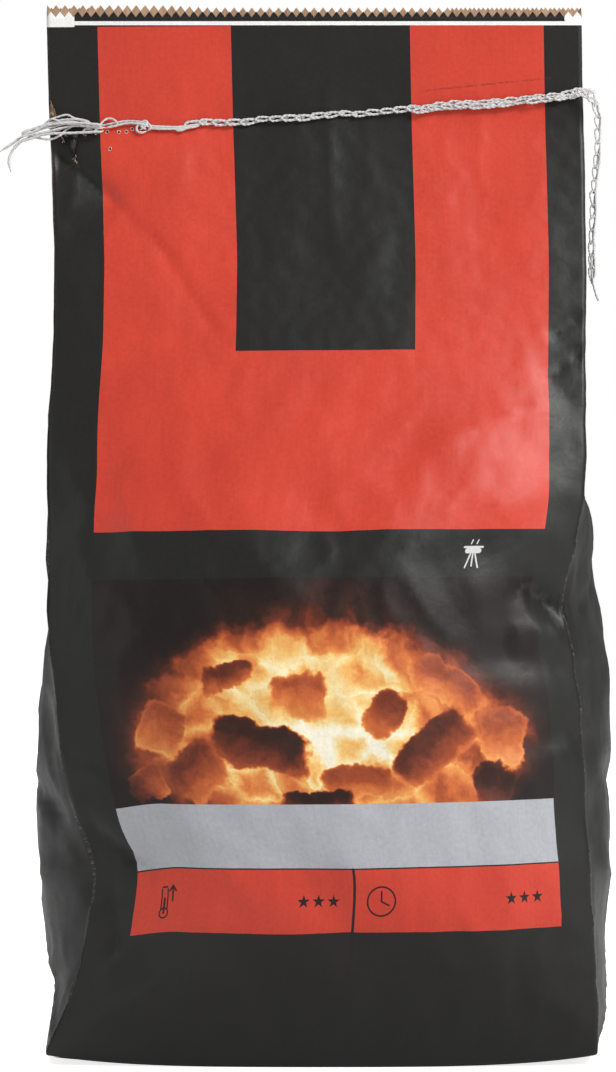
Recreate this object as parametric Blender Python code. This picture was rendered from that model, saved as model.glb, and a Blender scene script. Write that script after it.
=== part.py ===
"""A paper sack of lump charcoal: a two-ply gusseted tube with a block bottom, sewn shut across its top.

Run with blender --background --python part.py, or from Blender's text editor. Metres, +Z up. The origin is
the middle of the block bottom, where the sack stands, and -Y is the printed front. The sack holds its lumps
up to 0.3 m, above which the gussets fold inwards and the front and back come together at the seam.
"""

import math
import random

import bmesh
import bpy
from mathutils import Euler, Vector

# The width of the front, laid flat. Each gusset is half as wide.
FACE_WIDTH = 0.280
MOUTH_HEIGHT = 0.5385

# Each ply is drawn at 0.3 mm with the same gap between plies.
PLY = 0.0003
PLY_GAP = 0.0003
# A side crease is a narrow flat edge, so that the plies inside it have room to turn back on themselves.
CREASE_EDGE = 0.0024
# Half the gap between the two halves of a folded gusset, at its innermost fold.
GUSSET_GAP = 0.0010

# The filled shape, by height: half-width at the side creases, half-depth at the side creases, half-depth at
# the middle of the front and back, half-width at the middle of a gusset, and the roundness of a gusset, from
# 1 for a straight fold to 2 for a full bulge.
SHAPE = (
    (0.000, 0.1400, 0.0680, 0.0690, 0.1400, 2.0),
    (0.035, 0.1350, 0.0670, 0.0870, 0.1430, 2.0),
    (0.085, 0.1310, 0.0655, 0.1010, 0.1495, 2.0),
    (0.140, 0.1300, 0.0645, 0.1060, 0.1515, 2.0),
    (0.200, 0.1310, 0.0625, 0.1030, 0.1495, 1.9),
    (0.250, 0.1335, 0.0590, 0.0920, 0.1450, 1.7),
    (0.290, 0.1365, 0.0530, 0.0760, 0.1330, 1.4),
    (0.330, 0.1385, 0.0430, 0.0580, 0.0960, 1.1),
    (0.370, 0.1395, 0.0320, 0.0400, 0.0770, 1.0),
    (0.410, 0.1400, 0.0210, 0.0245, 0.0730, 1.0),
    (0.452, 0.1400, 0.0110, 0.0118, 0.0709, 1.0),
    (0.483, 0.1400, 0.0045, 0.0045, 0.0700, 1.0),
    (MOUTH_HEIGHT, 0.1400, 0.0041, 0.0041, 0.0700, 1.0),
)
FACE_ARCH = 2.2
RING_HEIGHTS = (
    0.0, 0.018, 0.045, 0.085, 0.130, 0.175, 0.220, 0.255, 0.283, 0.310, 0.340, 0.375, 0.415, 0.456, 0.486,
)

# The mouth is cut with pinking teeth, and the inner ply stands a little higher than the outer one.
FACE_COLUMNS = 10
GUSSET_COLUMNS = 3
TEETH_IN_FACE_COLUMN = 6
TEETH_IN_GUSSET_COLUMN = 5
TOOTH_HEIGHT = 0.0030
INNER_MOUTH = MOUTH_HEIGHT + 0.0022

# The closing seam, a two-thread chain stitch, climbs from the left edge to the right one. Its looper
# thread is a chain that lies on the front, and its needle thread shows as a plain line on the back.
SEAM_LEFT_HEIGHT = 0.479
SEAM_RIGHT_HEIGHT = 0.4985
SEAM_MARGIN = 0.004
CHAIN_LEFT_END = -0.110
CHAIN_DIAMETER = 0.0036
YARN_DIAMETER = 0.0016
THREAD_CLEARANCE = 0.0004
# How far the chain lies below the line of needle holes, away from its two ends.
CHAIN_SAG = 0.0022

# The loose ends. The chain's run-off hangs down past the right edge. At the left the stitches have pulled
# out, and the two yarns run side by side to their cut ends.
CHAIN_TAIL_RIGHT = (
    (0.1385, -0.0072, 0.4975),
    (0.1425, -0.0072, 0.4960),
    (0.1455, -0.0070, 0.4880),
    (0.1460, -0.0066, 0.4740),
    (0.1440, -0.0062, 0.4478),
    (0.1430, -0.0060, 0.4269),
    (0.1430, -0.0060, 0.4034),
    (0.1460, -0.0064, 0.3903),
)
NEEDLE_TAIL_LEFT = (
    (-0.1125, -0.0080, 0.4815),
    (-0.1270, -0.0082, 0.4825),
    (-0.1410, -0.0082, 0.4815),
    (-0.1470, -0.0080, 0.4785),
    (-0.1540, -0.0078, 0.4755),
    (-0.1605, -0.0075, 0.4710),
    (-0.1651, -0.0072, 0.4682),
)
LOOPER_TAIL_LEFT = (
    (-0.1125, -0.0082, 0.4780),
    (-0.1270, -0.0086, 0.4772),
    (-0.1415, -0.0090, 0.4765),
    (-0.1500, -0.0092, 0.4740),
    (-0.1565, -0.0092, 0.4715),
    (-0.1610, -0.0090, 0.4640),
    (-0.1604, -0.0087, 0.4577),
)

# The lumps: the spaces that they share, as low and high corners, and how many lie in each. Most of them
# stand between the side creases, and the rest fill out the front, the back and the slope below the seam.
LUMP_SPACES = (
    ((-0.124, -0.061, 0.004), (0.124, 0.061, 0.250), 36),
    ((-0.072, -0.088, 0.075), (0.072, -0.062, 0.205), 6),
    ((-0.072, 0.062, 0.075), (0.072, 0.088, 0.205), 6),
    ((-0.105, -0.046, 0.252), (0.105, 0.046, 0.300), 5),
)
LUMP_GAP = 0.0012
LUMP_SIDES = 6
LUMP_RINGS = (-1.0, -0.35, 0.4, 1.0)

PAPER_BLACK = (0.055, 0.053, 0.051, 1.0)
KRAFT_BROWN = (0.40, 0.25, 0.15, 1.0)
THREAD_WHITE = (0.86, 0.86, 0.87, 1.0)
CHARCOAL_BLACK = (0.018, 0.017, 0.016, 1.0)


def clear_scene():
    for obj in list(bpy.data.objects):
        bpy.data.objects.remove(obj)


def material(name, colour, roughness):
    made = bpy.data.materials.new(name)
    made.use_nodes = True
    shader = made.node_tree.nodes["Principled BSDF"]
    shader.inputs["Base Color"].default_value = colour
    shader.inputs["Roughness"].default_value = roughness
    shader.inputs["Metallic"].default_value = 0.0
    return made


def add_mesh_object(name, mesh_builder, surface):
    """Links a new object whose mesh is what mesh_builder, a bmesh, holds."""
    mesh = bpy.data.meshes.new(name)
    bmesh.ops.recalc_face_normals(mesh_builder, faces=mesh_builder.faces)
    mesh_builder.to_mesh(mesh)
    mesh_builder.free()
    obj = bpy.data.objects.new(name, mesh)
    bpy.context.scene.collection.objects.link(obj)
    mesh.materials.append(surface)
    return obj


def shape_at(height):
    """The row of SHAPE at any height, eased between its neighbours so that no band shows as a kink."""
    for low, high in zip(SHAPE, SHAPE[1:]):
        if height <= high[0]:
            break
    share = min(1.0, max(0.0, (height - low[0]) / (high[0] - low[0])))
    eased = share * share * (3 - 2 * share)
    mixed = 0.5 * (share + eased)
    return [a + (b - a) * mixed for a, b in zip(low[1:], high[1:])]


def section(height):
    """The sack's outline at a height, as points anticlockwise from the front's left crease."""
    crease_x, crease_y, middle_y, gusset_x, roundness = shape_at(height)
    fold_y = crease_y - CREASE_EDGE
    front = []
    for i in range(FACE_COLUMNS + 1):
        across = 2 * i / FACE_COLUMNS - 1
        arch = (middle_y - crease_y) * (1 - abs(across) ** FACE_ARCH)
        front.append((crease_x * across, -crease_y - arch))
    half_gusset = []
    for i in range(GUSSET_COLUMNS + 1):
        share = i / GUSSET_COLUMNS
        y = fold_y * (1 - share) + GUSSET_GAP * share
        x = crease_x + (gusset_x - crease_x) * (1 - (1 - share) ** roundness)
        half_gusset.append((x, -y))
    right_gusset = half_gusset + [(x, -y) for x, y in reversed(half_gusset)]
    half_round = front + right_gusset
    return half_round + [(-x, -y) for x, y in half_round]


def inset(points, distance):
    """The outline moved inwards by a distance, with mitred corners."""
    count = len(points)
    made = []
    for i, (x, y) in enumerate(points):
        before = Vector((x - points[i - 1][0], y - points[i - 1][1])).normalized()
        after = Vector((points[(i + 1) % count][0] - x, points[(i + 1) % count][1] - y)).normalized()
        outward = Vector((before.y + after.y, -before.x - after.x)).normalized()
        mitre = distance / max(0.5, outward.dot(Vector((before.y, -before.x))))
        made.append((x - outward.x * mitre, y - outward.y * mitre))
    return made


def teeth_in_columns():
    """How many teeth each column of the outline carries. The narrow edges at creases and folds carry none."""
    face = [TEETH_IN_FACE_COLUMN] * FACE_COLUMNS
    gusset = [TEETH_IN_GUSSET_COLUMN] * GUSSET_COLUMNS
    return (face + [0] + gusset + [0] + gusset + [0]) * 2


def toothed_edge(mesh_builder, points, mouth):
    """Vertices along the cut mouth, one list for each column, each starting at the column's own corner."""
    count = len(points)
    corners = [mesh_builder.verts.new((x, y, mouth)) for x, y in points]
    columns = []
    for i, teeth in enumerate(teeth_in_columns()):
        start = Vector(points[i])
        along = Vector(points[(i + 1) % count]) - start
        edge = [corners[i]]
        for k in range(1, 2 * teeth):
            place = start + along * (k / (2 * teeth))
            edge.append(mesh_builder.verts.new((place.x, place.y, mouth + TOOTH_HEIGHT * (k % 2))))
        columns.append(edge)
    return columns


def skin(mesh_builder, distance, floor, mouth):
    """One side of a ply: its walls at that inset, its bottom at floor, and its toothed mouth."""
    count = len(section(0))
    rings = []
    for height in RING_HEIGHTS:
        outline = inset(section(height), distance)
        level = max(height, floor)
        rings.append([mesh_builder.verts.new((x, y, level)) for x, y in outline])
    for low, high in zip(rings, rings[1:]):
        for i in range(count):
            k = (i + 1) % count
            mesh_builder.faces.new((low[i], low[k], high[k], high[i]))
    mesh_builder.faces.new(reversed(rings[0]))
    columns = toothed_edge(mesh_builder, inset(section(MOUTH_HEIGHT), distance), mouth)
    for i in range(count):
        k = (i + 1) % count
        top = columns[i] + [columns[k][0]]
        mesh_builder.faces.new([rings[-1][i], rings[-1][k]] + top[::-1])
    return [vertex for edge in columns for vertex in edge]


def ply(name, distance, mouth, surface):
    """A whole ply: an outer and an inner skin joined round the mouth, where it stays open."""
    mesh_builder = bmesh.new()
    outside = skin(mesh_builder, distance, distance, mouth)
    inside = skin(mesh_builder, distance + PLY, distance + PLY, mouth)
    count = len(outside)
    for i in range(count):
        k = (i + 1) % count
        mesh_builder.faces.new((outside[i], outside[k], inside[k], inside[i]))
    return add_mesh_object(name, mesh_builder, surface)


def thread(name, route, diameter, surface):
    """A plain round thread along a route of points."""
    curve = bpy.data.curves.new(name, "CURVE")
    curve.dimensions = "3D"
    curve.bevel_depth = diameter / 2
    curve.bevel_resolution = 2
    curve.use_fill_caps = True
    spline = curve.splines.new("POLY")
    spline.points.add(len(route) - 1)
    for point, place in zip(spline.points, route):
        point.co = (*place, 1.0)
    curve.materials.append(surface)
    obj = bpy.data.objects.new(name, curve)
    bpy.context.scene.collection.objects.link(obj)
    return obj


def smooth_route(places, steps):
    """Points along a smooth curve through the places, with that many steps between each two."""
    ends = [places[0]] + list(places) + [places[-1]]
    made = []
    for a, b, c, d in zip(ends, ends[1:], ends[2:], ends[3:]):
        for k in range(steps):
            t = k / steps
            made.append(
                tuple(
                    0.5 * (2 * q + (r - p) * t + (2 * p - 5 * q + 4 * r - s) * t**2 + (3 * q - p - 3 * r + s) * t**3)
                    for p, q, r, s in zip(a, b, c, d)
                )
            )
    return made + [tuple(places[-1])]


def seam_height(x):
    share = x / FACE_WIDTH + 0.5
    return SEAM_LEFT_HEIGHT + (SEAM_RIGHT_HEIGHT - SEAM_LEFT_HEIGHT) * share


def wall_depth(height):
    """How far the middle of the front stands out at a height, between the rings that the skins run through."""
    rings = RING_HEIGHTS + (MOUTH_HEIGHT,)
    for low, high in zip(rings, rings[1:]):
        if height <= high:
            break
    share = (height - low) / (high - low)
    return shape_at(low)[2] * (1 - share) + shape_at(high)[2] * share


def add_seam(surface):
    """The two threads of the seam, each lying on its own side of the sack."""
    steps = 24
    reach = FACE_WIDTH / 2 - SEAM_MARGIN
    chain = []
    needle = []
    for i in range(steps + 1):
        share = i / steps
        x = CHAIN_LEFT_END + (reach - CHAIN_LEFT_END) * share
        height = seam_height(x) - CHAIN_SAG * min(1.0, 4 * share, 8 * (1 - share))
        depth = wall_depth(height - CHAIN_DIAMETER / 2)
        chain.append((x, -depth - THREAD_CLEARANCE - CHAIN_DIAMETER / 2, height))
        x = reach * (2 * share - 1)
        depth = wall_depth(seam_height(x) - YARN_DIAMETER / 2)
        needle.append((x, depth + THREAD_CLEARANCE + YARN_DIAMETER / 2, seam_height(x)))
    thread("looper_chain", chain, CHAIN_DIAMETER, surface)
    thread("needle_thread", needle, YARN_DIAMETER, surface)


def add_thread_tails(surface):
    thread("chain_tail_right", smooth_route(CHAIN_TAIL_RIGHT, 2), CHAIN_DIAMETER, surface)
    thread("needle_tail_left", smooth_route(NEEDLE_TAIL_LEFT, 3), YARN_DIAMETER, surface)
    thread("looper_tail_left", smooth_route(LOOPER_TAIL_LEFT, 3), YARN_DIAMETER, surface)


def shared_out(low, high, count, chance):
    """The space from low to high cut into that many boxes, always across the longest side."""
    if count == 1:
        return [(low, high)]
    first = count // 2
    sides = [b - a for a, b in zip(low, high)]
    axis = sides.index(max(sides))
    share = first / count * chance.uniform(0.90, 1.10)
    cut = low[axis] + sides[axis] * share
    middle_high = list(high)
    middle_low = list(low)
    middle_high[axis] = cut
    middle_low[axis] = cut
    return shared_out(low, middle_high, first, chance) + shared_out(middle_low, high, count - first, chance)


def lump(name, low, high, chance, surface):
    """A broken piece of charred branch that fills its box: a rough many-sided stick with skewed ends."""
    turn = Euler([chance.uniform(-0.5, 0.5) for _ in range(3)]).to_matrix()
    mesh_builder = bmesh.new()
    rings = []
    for along in LUMP_RINGS:
        ring = []
        for k in range(LUMP_SIDES):
            angle = 2 * math.pi * (k + chance.uniform(-0.25, 0.25)) / LUMP_SIDES
            radius = chance.uniform(0.70, 1.0) * (0.82 if abs(along) == 1 else 1.0)
            skew = chance.uniform(-0.16, 0.16)
            place = turn @ Vector((along + skew, radius * math.cos(angle), radius * math.sin(angle)))
            ring.append(mesh_builder.verts.new(place))
        rings.append(ring)
    for ring, following in zip(rings, rings[1:]):
        for k in range(LUMP_SIDES):
            n = (k + 1) % LUMP_SIDES
            mesh_builder.faces.new((ring[k], ring[n], following[n], following[k]))
    mesh_builder.faces.new(rings[0])
    mesh_builder.faces.new(rings[-1])
    bmesh.ops.triangulate(mesh_builder, faces=mesh_builder.faces)
    for axis in range(3):
        least = min(v.co[axis] for v in mesh_builder.verts)
        most = max(v.co[axis] for v in mesh_builder.verts)
        scale = (high[axis] - low[axis] - 2 * LUMP_GAP) / (most - least)
        for vertex in mesh_builder.verts:
            vertex.co[axis] = low[axis] + LUMP_GAP + (vertex.co[axis] - least) * scale
    return add_mesh_object(name, mesh_builder, surface)


def add_lumps(surface):
    chance = random.Random(12)
    boxes = []
    for low, high, count in LUMP_SPACES:
        boxes += shared_out(low, high, count, chance)
    for i, (low, high) in enumerate(boxes):
        lump(f"charcoal_lump_{i + 1:02d}", low, high, chance, surface)


def main():
    clear_scene()
    printed_paper = material("printed_paper", PAPER_BLACK, 0.62)
    kraft_paper = material("kraft_paper", KRAFT_BROWN, 0.85)
    thread_white = material("thread", THREAD_WHITE, 0.80)
    charcoal = material("charcoal", CHARCOAL_BLACK, 0.90)
    ply("outer_ply", 0.0, MOUTH_HEIGHT, printed_paper)
    ply("inner_ply", PLY + PLY_GAP, INNER_MOUTH, kraft_paper)
    add_seam(thread_white)
    add_thread_tails(thread_white)
    add_lumps(charcoal)


main()
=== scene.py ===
"""A filled and sewn paper sack of lump charcoal, standing on its block bottom.

The sections follow the sack as it is made: the printed outer ply, the kraft inner ply, the folded bottom,
the charcoal, the sewn seam and its loose ends, and then the studio. Metres, +Z up, the front faces -Y.
"""

import math
import random

import bmesh
import bpy
import numpy as np
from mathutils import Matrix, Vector, noise
from mathutils.bvhtree import BVHTree


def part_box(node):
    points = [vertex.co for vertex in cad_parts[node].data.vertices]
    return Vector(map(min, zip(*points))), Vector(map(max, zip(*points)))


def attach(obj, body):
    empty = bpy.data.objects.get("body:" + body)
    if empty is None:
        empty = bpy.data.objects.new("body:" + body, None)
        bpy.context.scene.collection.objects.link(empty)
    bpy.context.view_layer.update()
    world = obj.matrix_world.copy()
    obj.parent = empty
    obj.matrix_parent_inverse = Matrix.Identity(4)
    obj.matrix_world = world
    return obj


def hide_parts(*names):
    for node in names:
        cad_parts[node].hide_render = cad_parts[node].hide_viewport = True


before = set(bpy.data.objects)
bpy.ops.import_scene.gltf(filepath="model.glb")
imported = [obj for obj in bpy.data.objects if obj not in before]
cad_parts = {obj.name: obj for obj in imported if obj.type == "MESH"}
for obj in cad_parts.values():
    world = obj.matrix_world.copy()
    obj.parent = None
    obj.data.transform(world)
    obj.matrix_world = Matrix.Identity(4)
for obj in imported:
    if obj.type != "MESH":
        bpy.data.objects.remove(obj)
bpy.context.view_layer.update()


# ---------------------------------------------------------------------------------------------------------
# The outer ply, as a shape. It is one tube of bleached sack paper, 280 mm across the face with a 140 mm
# gusset at each side, 0.2 mm thick, printed flat and then folded. The charcoal rounds its lower half out,
# and above the fill the gussets turn inwards until the front and back lie flat together at the mouth.
# ---------------------------------------------------------------------------------------------------------

FACE = 0.280
GUSSET = 0.140
OUTER_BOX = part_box("outer_ply")
MOUTH = OUTER_BOX[1].z - 0.003
TEETH_ON_FACE = 60
TOOTH = 0.0030
OUTER_THICKNESS = 0.00020

# The side creases of the front, by height: x of the left one, x of the right one, and their depth.
HEIGHTS = (0.000, 0.018, 0.033, 0.053, 0.083, 0.099, 0.124, 0.154, 0.184, 0.209, 0.235, 0.253, 0.270,
           0.285, 0.328, 0.366, 0.410, 0.452, 0.483, 0.540)
LEFT_CREASE = (-0.1390, -0.1312, -0.1261, -0.1201, -0.1136, -0.1116, -0.1215, -0.1290, -0.1330, -0.1360,
               -0.1366, -0.1369, -0.1371, -0.1372, -0.1380, -0.1362, -0.1365, -0.1388, -0.1405, -0.1421)
RIGHT_CREASE = (0.1410, 0.1408, 0.1402, 0.1392, 0.1370, 0.1362, 0.1350, 0.1338, 0.1322, 0.1277, 0.1240,
                0.1275, 0.1320, 0.1350, 0.1370, 0.1377, 0.1390, 0.1390, 0.1388, 0.1380)
CREASE_DEPTH = (0.0670, 0.0690, 0.0700, 0.0715, 0.0730, 0.0730, 0.0700, 0.0665, 0.0645, 0.0625, 0.0605,
                0.0585, 0.0560, 0.0535, 0.0430, 0.0325, 0.0210, 0.0100, 0.0024, 0.0019)
# How far the middle of the front stands out beyond its creases.
FACE_BULGE = (0.0060, 0.0140, 0.0200, 0.0265, 0.0320, 0.0340, 0.0370, 0.0390, 0.0390, 0.0375, 0.0350,
              0.0320, 0.0280, 0.0240, 0.0140, 0.0080, 0.0035, 0.0010, 0.0000, 0.0000)
# The middle of each gusset: where it is across the sack, and how round the gusset is there.
LEFT_GUSSET = (-0.1410, -0.1388, -0.1367, -0.1415, -0.1447, -0.1452, -0.1465, -0.1460, -0.1436, -0.1405,
               -0.1370, -0.1330, -0.1260, -0.1170, -0.0960, -0.0760, -0.0730, -0.0709, -0.0700, -0.0700)
RIGHT_GUSSET = (0.1430, 0.1460, 0.1476, 0.1494, 0.1503, 0.1515, 0.1530, 0.1520, 0.1500, 0.1488, 0.1463,
                0.1445, 0.1430, 0.1400, 0.1080, 0.0800, 0.0740, 0.0709, 0.0690, 0.0690)
GUSSET_ROUNDNESS = (2.0, 2.0, 2.0, 2.0, 2.0, 2.0, 2.0, 2.0, 2.0, 2.0, 1.9, 1.8, 1.7, 1.5, 1.1, 1.0, 1.0,
                    1.0, 1.0, 1.0)
# Half the width of the U-turn that the paper makes at a side crease, where the gusset lies folded.
CREASE_TURN = 0.0013
GUSSET_GAP = 0.0006
BACK_FLATNESS = 0.92
ARCH_SQUARENESS = 2.3
PROFILE_ROUNDING = 0.010
CORNER_LIFT = 0.0048
CORNER_LIFT_HEIGHT = 0.060
BOTTOM_EDGE_RADIUS = 0.0030
# How high the charcoal reaches. Above it the gussets lie folded.
FILL_TOP = 0.36


def read_profile(values, height):
    """A profile read at any height, with its kinks rounded over about a centimetre."""
    shares = (0.1, 0.2, 0.4, 0.2, 0.1)
    steps = np.linspace(-PROFILE_ROUNDING, PROFILE_ROUNDING, len(shares))
    return float(sum(np.interp(height + step, HEIGHTS, values) * share for step, share in zip(steps, shares)))


def resampled(points, shares):
    """Points along a line, at given shares of its length."""
    steps = np.linalg.norm(np.diff(points, axis=0), axis=1)
    length = np.concatenate([[0.0], np.cumsum(steps)])
    return np.stack([np.interp(shares * length[-1], length, points[:, k]) for k in range(2)], axis=1)


def sack_ring(height, columns, inset):
    """The sack's outline at one height, as x and y, anticlockwise from the front's left crease.

    columns gives how many steps the face and the gusset have. inset moves the whole outline inwards.
    """
    left, right, depth, bulge, roundness, left_middle, right_middle = [read_profile(values, height) for values in (
        LEFT_CREASE, RIGHT_CREASE, CREASE_DEPTH, FACE_BULGE, GUSSET_ROUNDNESS, LEFT_GUSSET, RIGHT_GUSSET)]
    face_columns, gusset_columns = columns
    across = np.linspace(-1.0, 1.0, 121)
    arch = bulge * (1 - np.abs(across) ** ARCH_SQUARENESS)
    x = np.clip(left + (right - left) * (across + 1) / 2, left + inset, right - inset)
    front = np.stack([x, -depth - arch + inset], axis=1)
    back = np.stack([x[::-1], depth + BACK_FLATNESS * arch - inset], axis=1)
    sides = []
    for crease_x, middle, outward in ((right, right_middle, 1), (left, left_middle, -1)):
        share = np.linspace(0.0, 1.0, 40)
        y = (depth - CREASE_TURN) * (1 - share) + GUSSET_GAP * share
        gusset_x = crease_x + (middle - crease_x) * (1 - (1 - share) ** roundness)
        half = np.stack([gusset_x, -y], axis=1)
        line = np.concatenate([half, half[::-1] * [1, -1]])
        tangent = np.gradient(line, axis=0)
        normal = np.stack([tangent[:, 1], -tangent[:, 0]], axis=1)
        normal /= np.maximum(1e-9, np.linalg.norm(normal, axis=1))[:, None]
        sides.append(line - normal * outward * inset)
    face_shares = np.linspace(0.0, 1.0, face_columns + 1)[:-1]
    gusset_shares = np.linspace(0.0, 1.0, gusset_columns + 1)[:-1]
    right_side, left_side = sides[0], sides[1][::-1]
    return np.concatenate([
        resampled(front, face_shares), front[-1:], resampled(right_side, gusset_shares), right_side[-1:],
        resampled(back, face_shares), back[-1:], resampled(left_side, gusset_shares), left_side[-1:],
    ])


def bottom_lift(around, height):
    """How far the corners of the block bottom turn up off the floor, at a place on the paper."""
    folded = np.mod(around + FACE / 2, FACE + GUSSET)
    on_face = folded <= FACE
    corner = np.where(on_face, np.abs(folded - FACE / 2) / (FACE / 2), 1 - 0.5 * np.abs(
        1 - np.abs(folded - FACE - GUSSET / 2) / (GUSSET / 2)))
    fade = np.clip(1 - height / CORNER_LIFT_HEIGHT, 0.0, 1.0) ** 2
    return CORNER_LIFT * np.clip(corner, 0.0, 1.0) ** 4 * fade


def line_distance(around, height, start, end):
    """The signed distance from a straight crease, above it positive, and how far along it, from 0 to 1."""
    along = np.array([end[0] - start[0], end[1] - start[1]])
    length = float(np.hypot(*along))
    along = along / length
    x = around - start[0]
    y = height - start[1]
    share = (x * along[0] + y * along[1]) / length
    return y * along[0] - x * along[1], share


def crease(around, height, start, end, depth, above, below):
    """A crease that a fold has left: a valley if depth is negative, with its own slope on either side."""
    away, share = line_distance(around, height, start, end)
    profile = np.where(away > 0, np.exp(-away / above), np.exp(away / below))
    ends = np.clip(np.minimum(share, 1 - share) / 0.25, 0.0, 1.0)
    return depth * profile * ends * ends * (3 - 2 * ends)


def dimple(around, height, centre, size, depth):
    """A soft round swelling, or a hollow if depth is negative."""
    x = (around - centre[0]) / size[0]
    y = (height - centre[1]) / size[1]
    return depth * np.exp(-(x * x + y * y))


def noise_field(around, height, size, seed, stretch=1.0):
    """Smooth noise of that feature size over the paper, from about -1 to 1."""
    flat = np.stack([around.ravel() / size, height.ravel() / (size * stretch)], axis=1)
    values = [noise.noise(Vector((x + seed * 7.3, y, seed * 3.1))) for x, y in flat]
    return np.array(values).reshape(around.shape) * 1.6


# Creases left by filling, sewing and stacking, as start, end, depth, and the slope above and below. The
# places are on the flat paper: across the face from its middle, and up from the bottom edge.
CREASES = (
    ((-0.1440, 0.4745), (-0.0990, 0.4380), -0.0044, 0.0030, 0.0150),
    ((-0.1200, 0.4540), (-0.0700, 0.4040), -0.0013, 0.0018, 0.0070),
    ((-0.0900, 0.4260), (-0.0480, 0.3620), -0.0012, 0.0035, 0.0100),
    ((-0.1330, 0.4330), (-0.1240, 0.4640), 0.0012, 0.0040, 0.0030),
    ((-0.1120, 0.3540), (-0.0860, 0.3620), -0.0009, 0.0030, 0.0060),
    ((0.1180, 0.3680), (0.1400, 0.3830), -0.0014, 0.0030, 0.0050),
    ((0.1120, 0.3470), (0.1420, 0.3630), -0.0024, 0.0035, 0.0050),
    ((0.0950, 0.3330), (0.1390, 0.3440), -0.0012, 0.0040, 0.0080),
    ((0.0500, 0.3100), (0.1300, 0.3400), 0.0024, 0.0120, 0.0150),
    ((0.1060, 0.2500), (0.1440, 0.2260), -0.0060, 0.0035, 0.0070),
    ((0.1000, 0.2200), (0.1400, 0.2180), 0.0022, 0.0050, 0.0060),
    ((0.0900, 0.2100), (0.1400, 0.2020), -0.0020, 0.0060, 0.0080),
    ((0.0720, 0.1490), (0.1420, 0.1590), 0.0022, 0.0045, 0.0080),
    ((0.0600, 0.0830), (0.1370, 0.0800), 0.0010, 0.0030, 0.0070),
    ((-0.1400, 0.1250), (-0.0980, 0.0960), -0.0040, 0.0060, 0.0100),
    ((-0.1300, 0.0950), (-0.1180, 0.0500), -0.0030, 0.0060, 0.0050),
    ((-0.1400, 0.1600), (-0.1080, 0.1380), 0.0016, 0.0060, 0.0090),
    ((-0.0600, 0.0330), (0.0700, 0.0300), -0.0010, 0.0060, 0.0070),
    ((-0.1350, 0.0200), (-0.0900, 0.0480), 0.0014, 0.0060, 0.0060),
    ((0.1380, 0.0180), (0.0950, 0.0440), 0.0014, 0.0060, 0.0060),
    ((0.0060, 0.4100), (0.0052, 0.5800), 0.0007, 0.0016, 0.0060),
    ((-0.0690, 0.4300), (-0.0690, 0.5800), 0.0006, 0.0050, 0.0016),
    ((0.0850, 0.4300), (0.0880, 0.5800), 0.0006, 0.0050, 0.0030),
    # The gussets: the edges of the triangles where they turn from folded to full, and their crumples.
    ((0.1420, 0.2900), (0.2080, 0.3600), 0.0025, 0.0050, 0.0060),
    ((0.2120, 0.3600), (0.2780, 0.2900), 0.0025, 0.0050, 0.0060),
    ((0.1450, 0.2200), (0.2100, 0.2600), -0.0022, 0.0050, 0.0070),
    ((0.1600, 0.1500), (0.2500, 0.1300), -0.0022, 0.0060, 0.0080),
    ((0.1450, 0.1050), (0.2200, 0.0800), 0.0018, 0.0050, 0.0070),
    ((0.1420, 0.0050), (0.2050, 0.0600), 0.0022, 0.0060, 0.0050),
    ((0.2780, 0.0050), (0.2150, 0.0600), 0.0022, 0.0060, 0.0050),
    ((0.5620, 0.2900), (0.6280, 0.3600), 0.0025, 0.0050, 0.0060),
    ((0.6320, 0.3600), (0.6980, 0.2900), 0.0025, 0.0050, 0.0060),
    ((0.5700, 0.2000), (0.6500, 0.2350), -0.0022, 0.0060, 0.0070),
    ((0.6200, 0.1500), (0.6990, 0.1200), -0.0030, 0.0060, 0.0080),
    ((0.6400, 0.0900), (0.6990, 0.1020), 0.0022, 0.0050, 0.0070),
    ((0.6300, 0.0300), (0.6980, 0.0520), -0.0022, 0.0050, 0.0060),
    ((0.5620, 0.0050), (0.6250, 0.0600), 0.0022, 0.0060, 0.0050),
    ((0.6980, 0.0050), (0.6350, 0.0600), 0.0022, 0.0060, 0.0050),
    # The back.
    ((0.3000, 0.4550), (0.3600, 0.4050), -0.0016, 0.0050, 0.0120),
    ((0.5500, 0.4450), (0.4900, 0.3850), -0.0018, 0.0050, 0.0120),
    ((0.3300, 0.3400), (0.4700, 0.3250), -0.0016, 0.0060, 0.0120),
    ((0.3000, 0.2400), (0.3500, 0.2100), -0.0024, 0.0050, 0.0080),
    ((0.5560, 0.2500), (0.5000, 0.2150), -0.0024, 0.0050, 0.0080),
    ((0.3000, 0.1200), (0.3700, 0.1000), -0.0018, 0.0050, 0.0090),
    ((0.4700, 0.0900), (0.5560, 0.1200), -0.0018, 0.0050, 0.0090),
)
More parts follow.
